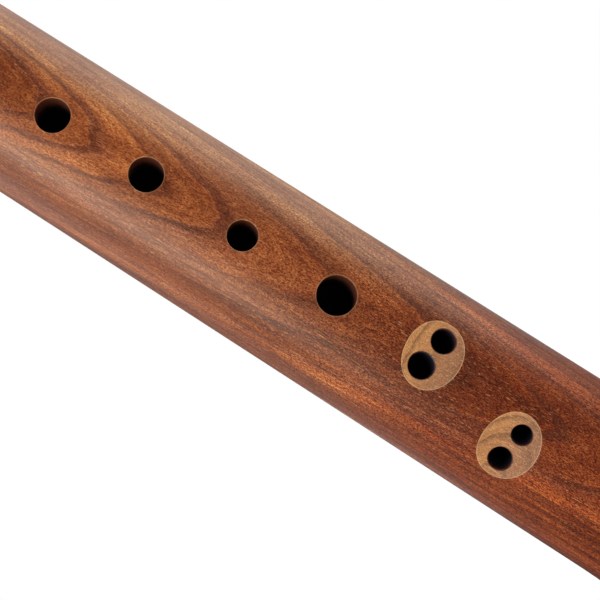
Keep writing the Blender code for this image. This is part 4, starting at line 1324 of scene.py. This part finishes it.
def saddle_ring(inset, thickness):
    """A ring round the thumb rest's plan, moved inwards by inset, at a height over the wood."""
    half_width, half_height = THUMB_REST_HALF_WIDTH - inset, THUMB_REST_HALF_HEIGHT - inset
    corner = max(0.4, 4.0 - inset)
    plan = rounded_rectangle(half_width, -half_height, half_height, corner, 12)
    return [(x, y, math.sqrt((body_radius(THUMB_REST_Z + y) + thickness) ** 2 - x * x)) for x, y in plan]


def thumb_shelf(place, material):
    """The shelf across the saddle, which widens to its foot and has rounded ends."""
    middle, foot = -0.2, 17.4
    side = flowing([(-5.0, foot), (-3.2, 18.5), (-1.9, 20.2), (-1.3, 22.3)], 8)
    side += arc((-0.4, 22.3), 0.9, 168, 12, 16)
    side += flowing([(0.5, 22.3), (0.9, 20.2), (2.2, 18.5), (4.5, foot)], 8)
    end = ((5.5, 0.7), (5.46, 0.85), (5.3, 0.95), (5.0, 1.0))
    rings = []
    for x, size in [(-x, size) for x, size in end] + list(reversed(end)):
        height = 0.9 + 0.1 * size
        rings.append([(x, middle + (y - middle) * size, foot + (z - foot) * height) for y, z in side])
    return skinned("shelf", rings, place, [material])


def make_thumb_rest(nickel, steel):
    """A plate bent to the tube, with a rounded shelf for the right thumb, and its two slotted screws."""
    place = facing(180, THUMB_REST_Z)
    low, high, edge = GAP, GAP + THUMB_REST_THICKNESS, 0.4
    rings = [saddle_ring(inset, low) for inset in (5.6, 4.0, 2.0, 0.8, 0.2)]
    rings += [saddle_ring(0.0, low + 0.15), saddle_ring(0.0, high - edge)]
    for angle in (0.4, 0.8, 1.2, 1.57):
        rings.append(saddle_ring(edge * (1 - math.cos(angle)), high - edge + edge * math.sin(angle)))
    rings += [saddle_ring(inset, high) for inset in (0.8, 2.0, 4.0, 5.6)]
    rest = skinned("fine_thumb_rest", rings, place, [nickel])
    combine(rest, [thumb_shelf(place, nickel)], "UNION")
    spots = [place @ offset(y=side * THUMB_REST_SCREW_Y) for side in (-1, 1)]
    drilled(rest, THUMB_REST_HOLE_RADIUS, 5, 30, *spots)
    hand_over(rest, "thumb_rest", "root")
    foot = body_radius(THUMB_REST_Z) + THUMB_REST_THICKNESS + 2 * GAP + 0.1
    radius, head_radius = 1.0, 2.1
    outline = [(0, 12.0), (0.5, 12.0, 0.1), (radius, 13.0)] + column(radius, 13.0, foot, 0.11)
    outline += [(radius, foot), (head_radius, foot, 0.08), (head_radius, foot + 0.4, 0.25)]
    outline += [(1.4, foot + 0.9, 0.8), (0, foot + 1.0)]
    for spot, word, turn in zip(spots, ("lower", "upper"), (20.0, -35.0)):
        screw = turned(f"fine_thumb_rest_screw_{word}", outline, steel, 64)
        grooved(screw, 1, 1.6, 0.2, 12.6, foot - 0.4, 0.85)
        slotted(screw, 0.25, 3.0, foot + 0.5, foot + 2.0, Matrix.Rotation(math.radians(turn), 4, "Z"))
        screw.data.transform(spot)
        hand_over(screw, f"thumb_rest_screw_{word}", "root")


# Floor, light and camera

# The white studio's light on things, and what reflections show of it in front and behind
FILL = 0.7
DARK_FRONT = 0.02
DIM_BACK = 0.25
# How much of the floor's look is its own glow, that glow's strength, and what reflections show of it
FLOOR_WHITE = 0.93
FLOOR_GLOW = 1.03
FLOOR_DIM = 0.4
FLOOR_NEAR = 0.2


def seen_directly(graph):
    """Whether a ray is a reflection, and whether it shows things or only lights them, as 1 or 0 each."""
    paths = graph.tree.nodes.new("ShaderNodeLightPath").outputs
    rays = ("Camera", "Glossy", "Transmission")
    camera, glossy, clear = [Value(graph, paths[f"Is {ray} Ray"]) for ray in rays]
    return glossy, (camera + glossy + clear).math("MINIMUM", 1.0)


def make_floor():
    """A pale floor that keeps the shadow and reads as white to the camera."""
    finish = Finish("pale_floor", Roughness=0.9, Base_Color=(0.95, 0.95, 0.95, 1.0))
    glossy, seen = seen_directly(finish)
    glow = finish.add("ShaderNodeEmission", [(1.0, 1.0, 1.0, 1.0), FLOOR_GLOW])
    lit = Value(finish, finish.shader.outputs[0])
    white = finish.add("ShaderNodeMixShader", [seen * FLOOR_WHITE, lit, glow])
    dark = finish.add("ShaderNodeEmission", [(0.0, 0.0, 0.0, 1.0), 0.0])
    x, y, _ = finish.axes()
    far = (x * x + y * y) ** 0.5
    mirrored = y.ramp(-10.0, -90.0, 1.0 - FLOOR_DIM, DARK_FRONT) * far.ramp(120.0, 450.0, FLOOR_NEAR, 1.0)
    dim = glossy * (1 - mirrored)
    mixed = finish.add("ShaderNodeMixShader", [dim, white, dark])
    finish.tree.links.new(mixed.socket, finish.tree.nodes["Material Output"].inputs["Surface"])
    size = 2500.0
    corners = [(-size, -size, 0), (size, -size, 0), (size, size, 0), (-size, size, 0)]
    floor = new_piece("floor", corners, [(0, 1, 2, 3)], finishes=[finish.material])


def make_world():
    """A white studio that is dark in reflections in front, where a photographer stands, and dim behind."""
    world = bpy.data.worlds.new("studio")
    bpy.context.scene.world = world
    world.use_nodes = True
    graph = Graph(world.node_tree)
    glossy, seen = seen_directly(graph)
    direction = graph.add("ShaderNodeTexCoord", output="Generated")
    parts = graph.add("ShaderNodeSeparateXYZ", [direction]).socket.node.outputs
    x, y, z = [Value(graph, part) for part in parts]
    reflected = (y + x * 0.16).ramp(-0.75, 0.2, DARK_FRONT, 1.0) * y.ramp(0.45, 0.95, 1.0, DIM_BACK)
    rightward = x.ramp(-0.2, -0.7) * z.ramp(-0.2, 0.25, -0.7, 1.5)
    reflected = reflected * (1 + x.ramp(0.2, 0.8) * 0.9 + rightward) * z.ramp(-0.2, 0.15, 0.3, 1.05)
    strength = seen * (1.0 - FILL) + FILL
    strength = strength * (1 - glossy) + reflected * glossy
    background = world.node_tree.nodes["Background"]
    background.inputs["Color"].default_value = (1.0, 1.0, 1.0, 1.0)
    world.node_tree.links.new(strength.socket, background.inputs["Strength"])


def make_lamp(name, azimuth, z, out, width, height, brightness, tilt=0.0, mirrored=True, lighting=True):
    """A soft box beside the tube that shines at its axis. A brightness of 1 looks as white as paper."""
    light = bpy.data.lights.new(name, "AREA")
    light.shape = "RECTANGLE"
    light.size, light.size_y = width * MM, height * MM
    light.energy = brightness * math.pi * light.size * light.size_y
    lamp = bpy.data.objects.new(name, light)
    bpy.context.scene.collection.objects.link(lamp)
    lamp.matrix_world = facing(azimuth, z, out) @ Matrix.Rotation(math.radians(tilt), 4, "X")
    lamp.visible_camera = False
    lamp.visible_glossy = mirrored
    lamp.visible_diffuse = lighting


# The camera as it was fitted to the photograph's holes and edges
CAMERA_AZIMUTH = -8.99
CAMERA_DISTANCE = 280.1
CAMERA_Z = 106.4
CAMERA_YAW = -0.421
CAMERA_PITCH = 0.051
CAMERA_ROLL = -57.562
CAMERA_LENS = 83.18


def make_camera():
    """The photograph's view: level with the holes, a little to the player's right, and rolled."""
    camera = bpy.data.cameras.new("camera")
    camera.lens = CAMERA_LENS
    camera.sensor_width = 36.0
    camera.clip_start = 10 * MM
    camera.clip_end = 10.0
    holder = bpy.data.objects.new("camera", camera)
    bpy.context.scene.collection.objects.link(holder)
    yaw = Matrix.Rotation(math.radians(-CAMERA_YAW), 4, "Y")
    pitch = Matrix.Rotation(math.radians(CAMERA_PITCH), 4, "X")
    roll = Matrix.Rotation(math.radians(CAMERA_ROLL), 4, "Z")
    holder.matrix_world = facing(CAMERA_AZIMUTH, CAMERA_Z, CAMERA_DISTANCE) @ yaw @ pitch @ roll
    bpy.context.scene.camera = holder


bpy.context.scene.view_settings.view_transform = "Standard"
WOODS = [
    oiled_plum("oiled_plum_wood"),
    raw_plum("raw_plum_wood"),
    bored_plum("bored_plum_wood"),
    raw_plum("worn_plum_edge", light=0.35),
]
NICKEL = polished_metal("polished_nickel_silver", colour(210, 205, 192), colour(201, 194, 177), 0.13)
STEEL = polished_metal("polished_steel", colour(186, 187, 190), colour(160, 160, 162), 0.18)
BLUED = blued_steel("blued_steel")
EBONITE = black_ebonite("polished_black_ebonite")
CORK = natural_cork("natural_cork")
CANE = cane_reed("cane_bark_and_flesh")
LEATHER = pad_leather("kid_leather")
make_body(WOODS)
make_socket_ring(NICKEL)
make_mouthpiece(EBONITE)
make_tenon_cork(CORK)
make_reed(CANE)
make_ligature(NICKEL)
make_ligature_screws(NICKEL)
for key, (azimuth, z) in KEYS.items():
    hinge = facing(azimuth, z, PIVOT_OUT)
    make_key_lever(key, hinge, NICKEL)
    make_key_soft_parts(key, hinge, LEATHER, CORK)
    make_key_spring(key, hinge, BLUED, STEEL)
    make_key_posts(key, azimuth, z, hinge, NICKEL, STEEL)
make_thumb_rest(NICKEL, STEEL)
make_floor()
make_world()
# A soft box has its azimuth, its height, its distance from the axis, its two sides and its brightness
make_lamp("soft_box_right", -45.0, 250.0, 320.0, 170.0, 280.0, 5.1)
make_lamp("sheen_right", -65.0, 280.0, 330.0, 95.0, 340.0, 14.0, lighting=False)
make_lamp("soft_box_left", 85.0, 100.0, 420.0, 260.0, 500.0, 2.6)
make_lamp("bounce_low", 10.0, 15.0, 260.0, 300.0, 160.0, 0.9, tilt=40.0, mirrored=False)
make_camera()
